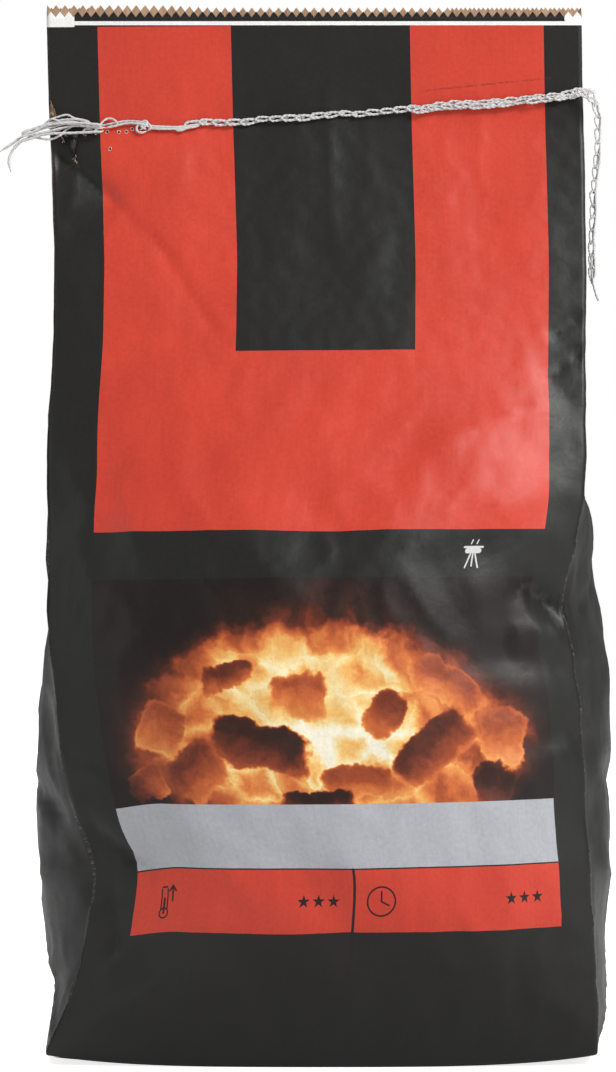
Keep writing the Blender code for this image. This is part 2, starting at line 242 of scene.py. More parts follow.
# Lumps that press the paper outwards, as centre, size and height of the swelling.
SWELLINGS = (
    ((0.0850, 0.2960), (0.0350, 0.0260), 0.0030),
    ((-0.0700, 0.2750), (0.0400, 0.0260), 0.0022),
    ((0.0050, 0.2350), (0.0450, 0.0260), 0.0014),
    ((-0.0650, 0.1700), (0.0330, 0.0280), 0.0020),
    ((0.0700, 0.1850), (0.0300, 0.0250), 0.0018),
    ((0.0150, 0.1150), (0.0400, 0.0230), 0.0014),
    ((-0.0500, 0.0700), (0.0350, 0.0240), 0.0018),
    ((0.0800, 0.0650), (0.0300, 0.0260), 0.0018),
    ((0.1950, 0.1850), (0.0220, 0.0300), 0.0024),
    ((0.2350, 0.1050), (0.0220, 0.0260), 0.0022),
    ((0.6150, 0.1850), (0.0220, 0.0280), 0.0022),
    ((0.6550, 0.1450), (0.0200, 0.0260), 0.0022),
    ((0.3450, 0.2800), (0.0350, 0.0300), 0.0028),
    ((0.4900, 0.2700), (0.0350, 0.0300), 0.0026),
    ((0.4200, 0.1800), (0.0400, 0.0300), 0.0024),
    ((0.3500, 0.1400), (0.0300, 0.0260), 0.0020),
    ((0.5000, 0.1350), (0.0300, 0.0280), 0.0022),
)
# Unevenness with no set place, as the size of its features and its height.
ROLLING = (0.038, 0.0013)
RIDGES = (0.026, 0.0007)
COCKLE = (0.007, 0.00022)
SLACK_WAVES = (0.030, 0.0007)


def relief(around, height):
    """How far the paper stands off its plain rounded shape, outwards positive."""
    total = np.zeros_like(around)
    for start, end, depth, above, below in CREASES:
        total += crease(around, height, start, end, depth, above, below)
    for centre, size, swell in SWELLINGS:
        total += dimple(around, height, centre, size, swell)
    filled = np.clip((FILL_TOP - height) / 0.08, 0.0, 1.0) * np.clip(height / 0.03, 0.0, 1.0)
    slack = np.clip((height - FILL_TOP) / 0.05, 0.0, 1.0) * np.clip((MOUTH - height) / 0.02, 0.2, 1.0)
    total += filled * ROLLING[1] * noise_field(around, height, ROLLING[0], 1)
    total += (0.15 + 0.85 * filled) * RIDGES[1] * (1 - 2 * np.abs(noise_field(around, height, RIDGES[0], 2)))
    total += COCKLE[1] * noise_field(around, height, COCKLE[0], 3)
    total += slack * SLACK_WAVES[1] * noise_field(around, height, SLACK_WAVES[0], 4, 2.5)
    return total


def pressed_gusset(around, height):
    """How far back the folded gussets are pushed where a dent in the front or back presses on them."""
    pushed = np.zeros_like(around)
    folded = np.clip((height - 0.340) / 0.060, 0.0, 1.0)
    right, left, half = FACE / 2, FACE * 1.5 + GUSSET, GUSSET / 2
    for first, mirror, front_side in ((right, FACE, True), (right + half, FACE + 2 * GUSSET, False),
                                      (left, 3 * FACE + 2 * GUSSET, False), (left + half, FACE + 2 * GUSSET, True)):
        on_it = (around > first) & (around < first + half)
        dent = np.minimum(0.0, relief(np.where(on_it, mirror - around, 0.0), height))
        pushed += np.where(on_it, -dent if front_side else dent, 0.0) * folded
    return pushed


def paper_rows(mouth):
    """The heights of the mesh's rows: close together in the folds under the seam, wider where it is plain."""
    low = np.linspace(0.0045, 0.365, 70)
    high = np.linspace(0.368, mouth - 0.0012, 50)
    return np.concatenate([[0.0, 0.0008, 0.0020], low, high, [mouth]])


FACE_STEPS = 2 * TEETH_ON_FACE
GUSSET_STEPS = TEETH_ON_FACE


def paper_columns():
    """Where each column of the mesh is on the flat paper, starting at the front's left crease."""
    face = np.linspace(0, FACE, FACE_STEPS + 1)
    side = np.linspace(0, GUSSET, GUSSET_STEPS + 1)
    return np.concatenate([face, FACE + side, FACE + GUSSET + face, 2 * FACE + GUSSET + side]) - FACE / 2


def paper_wall(rows, around, inset_at, teeth_at):
    """The sack's wall as a grid of points, one row for each height and one column for each place around."""
    grid = []
    for height in rows:
        corner = max(0.0, BOTTOM_EDGE_RADIUS - height)
        rounding = BOTTOM_EDGE_RADIUS - math.sqrt(BOTTOM_EDGE_RADIUS ** 2 - corner ** 2)
        ring = sack_ring(height, (FACE_STEPS, GUSSET_STEPS), inset_at(height) + 0.7 * rounding)
        level = height + bottom_lift(around, height)
        grid.append(np.column_stack([ring, level]))
    grid = np.array(grid)
    heights = np.repeat(rows[:, None], len(around), axis=1)
    arounds = np.repeat(around[None, :], len(rows), axis=0)
    up = np.gradient(grid, axis=0)
    wide = (np.roll(grid, -1, axis=1) - np.roll(grid, 1, axis=1)) / 2
    normal = np.cross(wide, up)
    normal /= np.maximum(1e-12, np.linalg.norm(normal, axis=2))[:, :, None]
    edge = np.clip(heights / 0.012, 0.0, 1.0)
    room = np.clip((0.52 - heights) / 0.03, 0.12, 1.0)
    grid = grid + normal * (relief(arounds, heights) * edge * room)[:, :, None]
    grid[:, :, 1] += pressed_gusset(arounds, heights) * room
    grid[-1, :, 2] += teeth_at(around)
    return grid, normal


def tube_faces(count_rows, count_columns, offset, flip):
    """The triangles of a tube of points. Both walls of a ply are split the same way, so they never cross."""
    faces = []
    for i in range(count_rows - 1):
        for k in range(count_columns):
            n = (k + 1) % count_columns
            a, b = offset + i * count_columns + k, offset + i * count_columns + n
            c, d = b + count_columns, a + count_columns
            halves = ((a, b, c), (a, c, d)) if (i + k) % 2 else ((a, b, d), (b, c, d))
            faces += [half[::-1] for half in halves] if flip else halves
    return faces


# The bottom panel lies this much above the floor, on its folded flaps.
CAP_RISE = 0.0009


def paper_tube(name, rows, around, inset_at, teeth_at, thickness, cap_rings=7):
    """A ply as a closed mesh: an outer and an inner wall joined round the mouth, each with its own bottom.

    The UV map, paper, gives each point's place on the flat sheet, in metres. Inside faces take slot 1.
    """
    wall, normal = paper_wall(rows, around, inset_at, teeth_at)
    inner = wall - normal * thickness
    inner[:, :, 2] = np.maximum(inner[:, :, 2], wall[:, :, 2].min() + thickness)
    inner[-1, :, 2] = wall[-1, :, 2]
    columns = len(around)
    points = []
    sheet_places = []
    faces = []
    slots = []
    for side, grid in enumerate((wall, inner)):
        offset = len(points)
        points += grid.reshape(-1, 3).tolist()
        for height in rows:
            sheet_places += [(a, height) for a in around]
        quads = tube_faces(len(rows), columns, offset, side == 1)
        faces += quads
        slots += [side] * len(quads)
        ring = grid[0]
        previous = offset
        for k in range(1, cap_rings):
            scale = 1 - k / cap_rings
            start = len(points)
            lifted = ring[:, 2].min() + CAP_RISE + (ring[:, 2] - ring[:, 2].min()) * scale ** 3
            points += np.column_stack([ring[:, 0] * scale, ring[:, 1] * scale, lifted]).tolist()
            sheet_places += [(a, -0.07 * (1 - scale)) for a in around]
            for c in range(columns):
                n = (c + 1) % columns
                quad = [previous + n, previous + c, start + c, start + n]
                faces.append(quad[::-1] if side == 1 else quad)
                slots.append(side)
            previous = start
        centre = len(points)
        points.append([0.0, 0.0, float(ring[:, 2].min()) + CAP_RISE])
        sheet_places.append((0.0, -0.07))
        for c in range(columns):
            n = (c + 1) % columns
            triangle = [previous + n, previous + c, centre]
            faces.append(triangle[::-1] if side == 1 else triangle)
            slots.append(side)
    per_side = len(points) // 2
    top = (len(rows) - 1) * columns
    for c in range(columns):
        n = (c + 1) % columns
        faces.append([top + c, top + n, per_side + top + n, per_side + top + c])
        slots.append(1)
    mesh = bpy.data.meshes.new(name)
    mesh.from_pydata(points, [], faces)
    places = mesh.uv_layers.new(name="paper")
    loop_vertices = np.zeros(len(mesh.loops), dtype=np.int64)
    mesh.loops.foreach_get("vertex_index", loop_vertices)
    uv = np.array(sheet_places)[loop_vertices]
    totals = np.array([len(face) for face in faces])
    starts = np.concatenate([[0], np.cumsum(totals)[:-1]])
    widest = np.maximum.reduceat(uv[:, 0], starts)
    owner = np.repeat(np.arange(len(faces)), totals)
    wraps = (widest[owner] > 0.6) & (uv[:, 0] < 0)
    uv[wraps, 0] += 2 * (FACE + GUSSET)
    places.data.foreach_set("uv", uv.ravel())
    mesh.polygons.foreach_set("material_index", slots)
    mesh.shade_smooth()
    obj = bpy.data.objects.new(name, mesh)
    bpy.context.scene.collection.objects.link(obj)
    return obj


def outer_teeth(around):
    return TOOTH * (np.arange(len(around)) % 2)


around_the_sack = paper_columns()
outer_ply = paper_tube("printed_outer_ply", paper_rows(MOUTH), around_the_sack, lambda height: 0.0,
                       outer_teeth, OUTER_THICKNESS)
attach(outer_ply, "root")
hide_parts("outer_ply")

# ---------------------------------------------------------------------------------------------------------
# The print on the outer ply. Flexographic ink on bleached kraft: a soft black all over, two red stripes that
# run down into a red block, a picture of embers, a grey band and two red boxes with plain symbols. The ink
# has a low sheen, shows the paper's fibres, and has rubbed off to white along the worn folds.
# ---------------------------------------------------------------------------------------------------------

def linear(hex_colour):
    """An sRGB hex colour as linear values, as shaders take it."""
    channels = [int(hex_colour[i:i + 2], 16) / 255 for i in (1, 3, 5)]
    return (*[c / 12.92 if c <= 0.04045 else ((c + 0.055) / 1.055) ** 2.4 for c in channels], 1.0)


def feed(tree, node, inputs):
    """Gives a node's inputs, by name or number, a value, a socket, or a node for its first output."""
    for name, value in inputs.items():
        socket = node.inputs[name] if isinstance(name, int) else next(
            s for s in node.inputs if s.enabled and s.name == name)
        if isinstance(value, bpy.types.Node):
            value = next(s for s in value.outputs if s.enabled)
        if isinstance(value, bpy.types.NodeSocket):
            tree.links.new(value, socket)
        else:
            socket.default_value = value


def add(tree, kind, inputs=None, **settings):
    """Adds a node with its settings and inputs. A kind without Node in it is a ShaderNode's.

    A texture's Scale, or its Mapping's, is one over its features' size in metres, so 1500 draws 0.7 mm grain.
    """
    made = tree.nodes.new(kind if "Node" in kind else "ShaderNode" + kind)
    for name, value in settings.items():
        setattr(made, name, value)
    feed(tree, made, inputs or {})
    return made


def new_material(name):
    """A new material, its node tree, and its shader."""
    made = bpy.data.materials.new(name)
    made.use_nodes = True
    return made, made.node_tree, made.node_tree.nodes["Principled BSDF"]


def printed_block(tree, place, left, right, low, high):
    """1 inside a printed rectangle, given by its edges on the flat paper in metres, and 0 outside it."""
    centre = ((left + right) / 2, (low + high) / 2, 0)
    half = ((right - left) / 2, (high - low) / 2, 0)
    away = add(tree, "VectorMath", {0: place, 1: centre}, operation="SUBTRACT")
    away = add(tree, "VectorMath", {0: away}, operation="ABSOLUTE")
    away = add(tree, "VectorMath", {0: away, 1: half}, operation="SUBTRACT")
    sides = add(tree, "SeparateXYZ", {0: away})
    worst = add(tree, "Math", {0: sides.outputs[0], 1: sides.outputs[1]}, operation="MAXIMUM")
    return add(tree, "Math", {0: worst, 1: 0.0}, operation="LESS_THAN")


def printed_line(tree, place, start, end, thickness):
    """1 on a printed line with round ends, from start to end on the flat paper, and 0 off it."""
    along = Vector((end[0] - start[0], end[1] - start[1], 0))
    step = add(tree, "VectorMath", {0: place, 1: (*start, 0)}, operation="SUBTRACT")
    share = add(tree, "VectorMath", {0: step, 1: along / max(1e-12, along.length_squared)},
                operation="DOT_PRODUCT")
    share = add(tree, "Clamp", {0: share})
    nearest = add(tree, "VectorMath", {0: along, 3: share}, operation="SCALE")
    away = add(tree, "VectorMath", {0: step, 1: nearest}, operation="DISTANCE")
    return add(tree, "Math", {0: away, 1: thickness / 2}, operation="LESS_THAN")


def printed_strokes(tree, place, centre, strokes):
    """A symbol's lines, each given from the symbol's centre: x and y of its two ends, and its thickness."""
    x, y = centre
    return [printed_line(tree, place, (x + x1, y + y1), (x + x2, y + y2), thickness)
            for x1, y1, x2, y2, thickness in strokes]


def printed_ring(tree, place, centre, radius, thickness):
    """1 on a printed circle of that line thickness, and 0 off it."""
    away = add(tree, "VectorMath", {0: place, 1: (*centre, 0)}, operation="DISTANCE")
    return add(tree, "Math", {0: away, 1: radius, 2: thickness / 2}, operation="COMPARE")


def printed_star(tree, place, centre, radius):
    """1 inside a printed five-pointed star, point up, and 0 outside it."""
    fifth = 2 * math.pi / 5
    step = add(tree, "VectorMath", {0: place, 1: (*centre, 0)}, operation="SUBTRACT")
    parts = add(tree, "SeparateXYZ", {0: step})
    angle = add(tree, "Math", {0: parts.outputs[0], 1: parts.outputs[1]}, operation="ARCTAN2")
    angle = add(tree, "Math", {0: angle, 1: fifth / 2}, operation="PINGPONG")
    reach = add(tree, "VectorMath", {0: step}, operation="LENGTH")
    slope = math.atan2(math.sin(fifth / 2) * 0.40, 1 - math.cos(fifth / 2) * 0.40)
    turned = add(tree, "Math", {0: angle, 1: slope}, operation="ADD")
    turned = add(tree, "Math", {0: turned}, operation="SINE")
    edge = add(tree, "Math", {0: turned, 1: reach}, operation="MULTIPLY")
    return add(tree, "Math", {0: edge, 1: radius * math.sin(slope)}, operation="LESS_THAN")


def ellipse_reach(tree, place, centre, half):
    """How far a place is from an ellipse's centre, as a share of the way to its edge."""
    step = add(tree, "VectorMath", {0: place, 1: (*centre, 0)}, operation="SUBTRACT")
    scaled = add(tree, "VectorMath", {0: step, 1: (1 / half[0], 1 / half[1], 0)}, operation="MULTIPLY")
    return add(tree, "VectorMath", {0: scaled}, operation="LENGTH")


def any_of(tree, masks):
    """1 where any of the masks is 1."""
    total = masks[0]
    for mask in masks[1:]:
        total = add(tree, "Math", {0: total, 1: mask}, operation="MAXIMUM")
    return total


def printed_coal(tree, bent, grain, centre, size, tilt, dark, light):
    """The picture's brightness with one lump of charcoal laid over it: blocky, dark above and glowing below."""
    step = add(tree, "VectorMath", {0: bent, 1: (*centre, 0)}, operation="SUBTRACT")
    turned = add(tree, "VectorRotate", {"Vector": step, "Angle": math.radians(tilt)},
                 rotation_type="Z_AXIS")
    scaled = add(tree, "VectorMath", {0: turned, 1: (1 / size[0], 1 / size[1], 0)},
                 operation="MULTIPLY")
    squared = add(tree, "VectorMath", {0: scaled, 1: scaled}, operation="MULTIPLY")
    reach = add(tree, "VectorMath", {0: squared}, operation="LENGTH")
    inside = add(tree, "MapRange", {0: reach, 1: 1.12, 2: 0.80, 3: 0.0, 4: 1.0},
                 interpolation_type="SMOOTHSTEP")
    upward = add(tree, "SeparateXYZ", {0: scaled})
    face = add(tree, "MapRange", {0: upward.outputs[1], 1: 0.55, 2: -1.0, 3: dark, 4: dark + 0.26},
               interpolation_type="SMOOTHSTEP")
    rim = add(tree, "MapRange", {0: reach, 1: 0.55, 2: 1.0, 3: 0.0, 4: 0.12})
    face = add(tree, "Math", {0: face, 1: rim}, operation="ADD")
    face = add(tree, "Math", {0: grain, 1: 0.34, 2: face}, operation="MULTIPLY_ADD")
    return add(tree, "Mix", {"Factor": inside, "A": light, "B": face}, data_type="FLOAT")


PAPER_WHITE = "#F4F3F0"
INK_BLACK = "#232221"
INK_RED = "#CE4332"
INK_GREY = "#AFB0B6"
INK_SYMBOL = "#241D1C"
BARBECUE_WHITE = "#D0D0D0"
# Where the inks lie on the flat sheet, in metres: left and right of the face's middle, and up from the bottom.
RED_EDGES = (-0.1135, 0.1200)
STRIPE_EDGES = (-0.0437, 0.0500)
STRIPE_FOOT = 0.3620
RED_FOOT = 0.2695
RED_HEAD = MOUTH - 0.0042
WHITE_LINE = 0.0021
GREY_BAND = (0.1035, 0.1348)
BOXES = (0.0712, 0.1028)
DIVIDER = 0.0062
SYMBOL_HEIGHT = 0.0868
STAR_STEP = 0.0079
# The glowing heap and the flames over it, as the centre and the half size of an ellipse.
FIRE = (0.0040, 0.1670)
FIRE_HALF = (0.118, 0.060)
FLAMES = (0.004, 0.2000)
FLAMES_HALF = (0.080, 0.066)

outer_print, tree, shader = new_material("flexo_printed_bleached_kraft")
sheet_place = add(tree, "UVMap", uv_map="paper")

# The cylinder that prints the sheet has the same plate twice, so the front's print repeats on the back. On
# the gussets the place runs on past the face's edge, where there is only black.
across = add(tree, "SeparateXYZ", {0: sheet_place})
panel = add(tree, "Math", {0: across.outputs[0], 1: FACE / 2 + 2 * (FACE + GUSSET)}, operation="ADD")
panel = add(tree, "Math", {0: panel, 1: FACE + GUSSET}, operation="MODULO")
on_panel = add(tree, "Math", {0: panel, 1: FACE / 2}, operation="SUBTRACT")
# The folding former let the lower left of the sheet slip 4 mm down, so the print there runs off level.
slip = add(tree, "MapRange", {0: on_panel, 1: -0.085, 2: -0.125, 3: 0.0, 4: 0.0040},
           interpolation_type="SMOOTHSTEP")
slip_low = add(tree, "MapRange", {0: across.outputs[1], 1: 0.27, 2: 0.14})
level = add(tree, "Math", {0: slip, 1: slip_low, 2: across.outputs[1]}, operation="MULTIPLY_ADD")
slope = add(tree, "Math", {0: on_panel, 1: -0.0075, 2: level}, operation="MULTIPLY_ADD")
place = add(tree, "CombineXYZ", {0: on_panel, 1: slope})

# The picture of embers. The heap glows orange and fades out at its ragged rim, flames reach up out of it, and
# between the coals in its middle the fire is almost white.
bend = add(tree, "TexNoise", {"Vector": place, "Scale": 42.0, "Detail": 4.0, "Roughness": 0.62})
bend = add(tree, "VectorMath", {0: bend.outputs["Color"], 1: (0.5, 0.5, 0.5)}, operation="SUBTRACT")
bent = add(tree, "VectorMath", {0: bend, 1: (0.019, 0.019, 0.0), 2: place}, operation="MULTIPLY_ADD")
flowing = add(tree, "VectorMath", {0: bend, 1: (0.030, 0.030, 0.0), 2: place}, operation="MULTIPLY_ADD")
fire_reach = ellipse_reach(tree, flowing, FIRE, FIRE_HALF)
heat = add(tree, "MapRange", {0: fire_reach, 1: 1.04, 2: 0.62, 3: 0.0, 4: 1.0},
           interpolation_type="SMOOTHSTEP")
core = add(tree, "MapRange", {0: fire_reach, 1: 0.60, 2: 0.0, 3: 0.0, 4: 0.31},
           interpolation_type="SMOOTHSTEP")
licks = add(tree, "Mapping", {"Vector": flowing, "Scale": (42.0, 19.0, 1.0)})
licks = add(tree, "TexNoise", {"Vector": licks, "Scale": 1.0, "Detail": 3.0, "Roughness": 0.5,
                                         "Distortion": 0.7})
grain = add(tree, "TexNoise", {"Vector": bent, "Scale": 130.0, "Detail": 6.0, "Roughness": 0.72})
grain = add(tree, "Math", {0: grain, 1: 0.5}, operation="SUBTRACT")
lumps = add(tree, "Mapping", {"Vector": bent, "Scale": (40.0, 52.0, 1.0)})
lump_edge = add(tree, "TexVoronoi", {"Vector": lumps, "Scale": 1.0, "Randomness": 1.0},
                feature="DISTANCE_TO_EDGE", voronoi_dimensions="2D")
lump_kind = add(tree, "TexVoronoi", {"Vector": lumps, "Scale": 1.0, "Randomness": 1.0},
                feature="F1", voronoi_dimensions="2D")
glowing_gap = add(tree, "MapRange", {0: lump_edge, 1: 0.30, 2: 0.0, 3: 0.0, 4: 0.24},
                  interpolation_type="SMOOTHSTEP")
lump_parts = add(tree, "SeparateXYZ", {0: lump_kind.outputs["Color"]})
lump_light = add(tree, "Math", {0: lump_parts.outputs[0], 1: 0.16, 2: 0.22}, operation="MULTIPLY_ADD")
lump_light = add(tree, "Math", {0: lump_light, 1: glowing_gap}, operation="ADD")
lump_light = add(tree, "Math", {0: grain, 1: 0.36, 2: lump_light}, operation="MULTIPLY_ADD")
lump_light = add(tree, "Math", {0: licks, 1: 0.46, 2: lump_light}, operation="MULTIPLY_ADD")
lump_light = add(tree, "Math", {0: lump_light, 1: core}, operation="ADD")
brightness = add(tree, "Math", {0: lump_light, 1: heat}, operation="MULTIPLY")
# The flames rise behind the coals, and thin out towards their tips.
flame_reach = ellipse_reach(tree, flowing, FLAMES, FLAMES_HALF)
flames = add(tree, "MapRange", {0: flame_reach, 1: 1.05, 2: 0.10, 3: 0.0, 4: 0.90},
             interpolation_type="SMOOTHSTEP")
flame_shape = add(tree, "MapRange", {0: licks, 1: 0.26, 2: 0.70, 3: 0.26, 4: 0.92},
                  interpolation_type="SMOOTHSTEP")
flames = add(tree, "Math", {0: flames, 1: flame_shape}, operation="MULTIPLY")
not_yet = add(tree, "Math", {0: 1.0, 1: flames}, operation="SUBTRACT")
brightness = add(tree, "Math", {0: brightness, 1: not_yet, 2: flames}, operation="MULTIPLY_ADD")
# The coals lying on top, as centre, half size, tilt in degrees, and how dark.
for centre, size, tilt, dark in (
    ((-0.044, 0.1960), (0.0150, 0.0060), -8, 0.26),
    ((-0.008, 0.1880), (0.0150, 0.0110), 6, 0.44),
    ((0.031, 0.1790), (0.0080, 0.0130), 34, 0.30),
    ((0.066, 0.1930), (0.0190, 0.0100), 34, 0.38),
    ((-0.080, 0.1720), (0.0130, 0.0150), 24, 0.40),
    ((-0.030, 0.1630), (0.0250, 0.0120), 14, 0.10),
    ((0.055, 0.1620), (0.0250, 0.0110), -36, 0.20),
    ((0.092, 0.1660), (0.0120, 0.0160), 10, 0.42),
    ((-0.063, 0.1500), (0.0150, 0.0130), -40, 0.28),
    ((-0.092, 0.1440), (0.0110, 0.0080), -10, 0.36),
    ((0.016, 0.1440), (0.0170, 0.0085), -4, 0.38),
    ((-0.004, 0.1360), (0.0190, 0.0060), 3, 0.06),
    ((0.086, 0.1400), (0.0110, 0.0120), 16, 0.12),
):
    brightness = printed_coal(tree, bent, grain, centre, size, tilt, dark, brightness)
rim = add(tree, "MapRange", {0: fire_reach, 1: 1.10, 2: 0.84, 3: 0.0, 4: 1.0},
          interpolation_type="SMOOTHSTEP")
rim = add(tree, "Math", {0: rim, 1: flames}, operation="MAXIMUM")
brightness = add(tree, "Math", {0: brightness, 1: rim}, operation="MULTIPLY")
embers = add(tree, "ValToRGB", {0: brightness})
EMBER_INKS = ((0.0, "#1E1816"), (0.14, "#3B2018"), (0.28, "#6A3020"), (0.42, "#A04A2A"), (0.56, "#CC6A38"),
              (0.70, "#E48F4C"), (0.82, "#F2BE6C"), (0.93, "#F9E2A8"), (1.0, "#FBF3DC"))
embers.color_ramp.elements[0].color = linear(EMBER_INKS[0][1])
embers.color_ramp.elements[1].color = linear(EMBER_INKS[-1][1])
for share, ink in EMBER_INKS[1:-1]:
    embers.color_ramp.elements.new(share).color = linear(ink)

# The inks, laid one over the other.
layers = [
    (printed_block(tree, place, *RED_EDGES, RED_FOOT, RED_HEAD), linear(INK_RED)),
    (printed_block(tree, place, *STRIPE_EDGES, STRIPE_FOOT, RED_HEAD), linear(INK_BLACK)),
    (printed_block(tree, place, *RED_EDGES, GREY_BAND[1], 0.2460), embers.outputs[0]),
    (printed_block(tree, place, *RED_EDGES, *GREY_BAND), linear(INK_GREY)),
    (printed_block(tree, place, *RED_EDGES, *BOXES), linear(INK_RED)),
    (printed_line(tree, place, (DIVIDER, 0.0500), (DIVIDER, 0.1030), 0.0014), linear(INK_SYMBOL)),
]
symbols = []
for first in (-0.0205, 0.0905):
    row = add(tree, "Math", {0: on_panel, 1: first - STAR_STEP / 2}, operation="SUBTRACT")
    row = add(tree, "Math", {0: row, 1: STAR_STEP}, operation="MODULO")
    star_place = add(tree, "CombineXYZ", {0: row, 1: slope})
    star = printed_star(tree, star_place, (STAR_STEP / 2, SYMBOL_HEIGHT), 0.0035)
    window = printed_block(tree, place, first - STAR_STEP / 2, first + 2.5 * STAR_STEP, 0.080, 0.095)
    symbols.append(add(tree, "Math", {0: star, 1: window}, operation="MULTIPLY"))
clock = (0.0205, SYMBOL_HEIGHT)
symbols.append(printed_ring(tree, place, clock, 0.0073, 0.0009))
symbols += printed_strokes(tree, place, clock, (
    (0.0, 0.0, 0.0, 0.0050, 0.0009),
    (0.0, 0.0, 0.0040, -0.0020, 0.0009),
))
thermometer = (-0.0960, 0.0810)
symbols.append(printed_ring(tree, place, thermometer, 0.0024, 0.0008))
symbols += printed_strokes(tree, place, thermometer, (
    (0.0, 0.0, 0.0, 0.0072, 0.0012),
    (-0.0017, 0.0020, -0.0017, 0.0120, 0.0008),
    (0.0017, 0.0020, 0.0017, 0.0120, 0.0008),
    (-0.0012, 0.0130, 0.0012, 0.0130, 0.0009),
    (0.0046, 0.0060, 0.0046, 0.0130, 0.0010),
    (0.0028, 0.0110, 0.0046, 0.0136, 0.0010),
    (0.0064, 0.0110, 0.0046, 0.0136, 0.0010),
))
layers.append((any_of(tree, symbols), linear(INK_SYMBOL)))
barbecue = printed_strokes(tree, place, (0.0835, 0.2575), (
    (-0.0048, 0.0034, 0.0048, 0.0034, 0.0010),
    (-0.0030, 0.0016, 0.0030, 0.0016, 0.0026),
    (-0.0012, 0.0, -0.0034, -0.0068, 0.0008),
    (0.0012, 0.0, 0.0034, -0.0068, 0.0008),
    (0.0, 0.0, 0.0, -0.0060, 0.0008),
    (-0.0016, 0.0050, -0.0010, 0.0068, 0.0006),
    (0.0014, 0.0050, 0.0020, 0.0068, 0.0006),
))
layers.append((any_of(tree, barbecue), linear(BARBECUE_WHITE)))
margins = [
    printed_block(tree, sheet_place, -1.0, 3.0, RED_HEAD, RED_HEAD + WHITE_LINE),
    printed_block(tree, place, -0.15, -0.1255, RED_HEAD, 1.0),
    printed_block(tree, place, 0.1310, 0.15, RED_HEAD, 1.0),
]
layers.append((any_of(tree, margins), linear(PAPER_WHITE)))
colour = linear(INK_BLACK)
for mask, ink in layers:
    colour = add(tree, "Mix", {"Factor": mask, "A": colour, "B": ink}, data_type="RGBA")

# The fibres mottle the ink over about 2 mm, and the paper machine leaves faint streaks up the sheet.
mottle = add(tree, "TexNoise", {"Vector": sheet_place, "Scale": 460.0, "Detail": 4.0, "Roughness": 0.7})
streaks = add(tree, "Mapping", {"Vector": sheet_place, "Scale": (800.0, 45.0, 1.0)})
streaks = add(tree, "TexNoise", {"Vector": streaks, "Scale": 1.0, "Detail": 2.0})
cloud = add(tree, "TexNoise", {"Vector": sheet_place, "Scale": 24.0, "Detail": 5.0})
tone = add(tree, "Math", {0: mottle, 1: 0.40, 2: 0.59}, operation="MULTIPLY_ADD")
tone = add(tree, "Math", {0: streaks, 1: 0.14, 2: tone}, operation="MULTIPLY_ADD")
tone = add(tree, "Math", {0: cloud, 1: 0.28, 2: tone}, operation="MULTIPLY_ADD")
toned = add(tree, "VectorMath", {0: colour, 3: tone}, operation="SCALE")

# Ink rubbed thin along the side creases and the gussets' middle folds, and painted shade in a row of pricks
# from an earlier, empty run of the sewing head at the upper right: the ink there is darkened in colour only.
near_fold = any_of(tree, [
    add(tree, "Math", {0: panel, 1: at, 2: 0.00045}, operation="COMPARE")
    for at in (0.0, FACE, FACE + GUSSET / 2, FACE + GUSSET)
])
wear_and_prick_shade_noise = add(tree, "TexNoise", {"Vector": sheet_place, "Scale": 520.0, "Detail": 5.0, "Roughness": 0.8})
rubbed = add(tree, "MapRange", {0: wear_and_prick_shade_noise, 1: 0.48, 2: 0.66, 3: 0.0, 4: 0.55})
rubbed = add(tree, "Math", {0: rubbed, 1: near_fold}, operation="MULTIPLY")
worn_ink_and_prick_shade = add(tree, "Mix", {"Factor": rubbed, "A": toned, "B": linear("#8A8681")}, data_type="RGBA")
# Painted shade for the pricks: along this line the ink is mixed up to half way to a dark red-brown.
prick_shade_line = printed_line(tree, sheet_place, (0.0560, 0.5000), (0.1230, 0.5065), 0.0010)
prick_shade_amount = add(tree, "MapRange", {0: wear_and_prick_shade_noise, 1: 0.46, 2: 0.54, 3: 0.0, 4: 0.5})
prick_shade_amount = add(tree, "Math", {0: prick_shade_amount, 1: prick_shade_line}, operation="MULTIPLY")
worn_ink_and_prick_shade = add(tree, "Mix", {"Factor": prick_shade_amount, "A": worn_ink_and_prick_shade, "B": linear("#5A2A22")}, data_type="RGBA")
gloss = add(tree, "Math", {0: mottle, 1: 0.22, 2: 0.31}, operation="MULTIPLY_ADD")
feed(tree, shader, {"Base Color": worn_ink_and_prick_shade, "IOR": 1.46, "Specular IOR Level": 0.34, "Roughness": gloss})

# The surface: fibre grain at half a millimetre, and the fine cockle of handled paper at a few millimetres.
fibres = add(tree, "TexNoise", {"Vector": sheet_place, "Scale": 1500.0, "Detail": 3.0, "Roughness": 0.7})
cockle = add(tree, "TexNoise", {"Vector": sheet_place, "Scale": 150.0, "Detail": 3.0, "Roughness": 0.6})
crumple = add(tree, "TexVoronoi", {"Vector": bent, "Scale": 55.0}, feature="DISTANCE_TO_EDGE",
              voronoi_dimensions="2D")
crumple = add(tree, "MapRange", {0: crumple, 1: 0.0, 2: 0.30})
grain_bump = add(tree, "Bump", {"Strength": 0.5, "Distance": 0.00008, "Height": fibres.outputs[0]})
cockle_bump = add(tree, "Bump", {"Strength": 0.26, "Distance": 0.00035, "Height": cockle.outputs[0],
                                           "Normal": grain_bump})
crumple_bump = add(tree, "Bump", {"Strength": 0.08, "Distance": 0.0008, "Height": crumple,
                                            "Normal": cockle_bump})
feed(tree, shader, {"Normal": crumple_bump})
outer_ply.data.materials.append(outer_print)

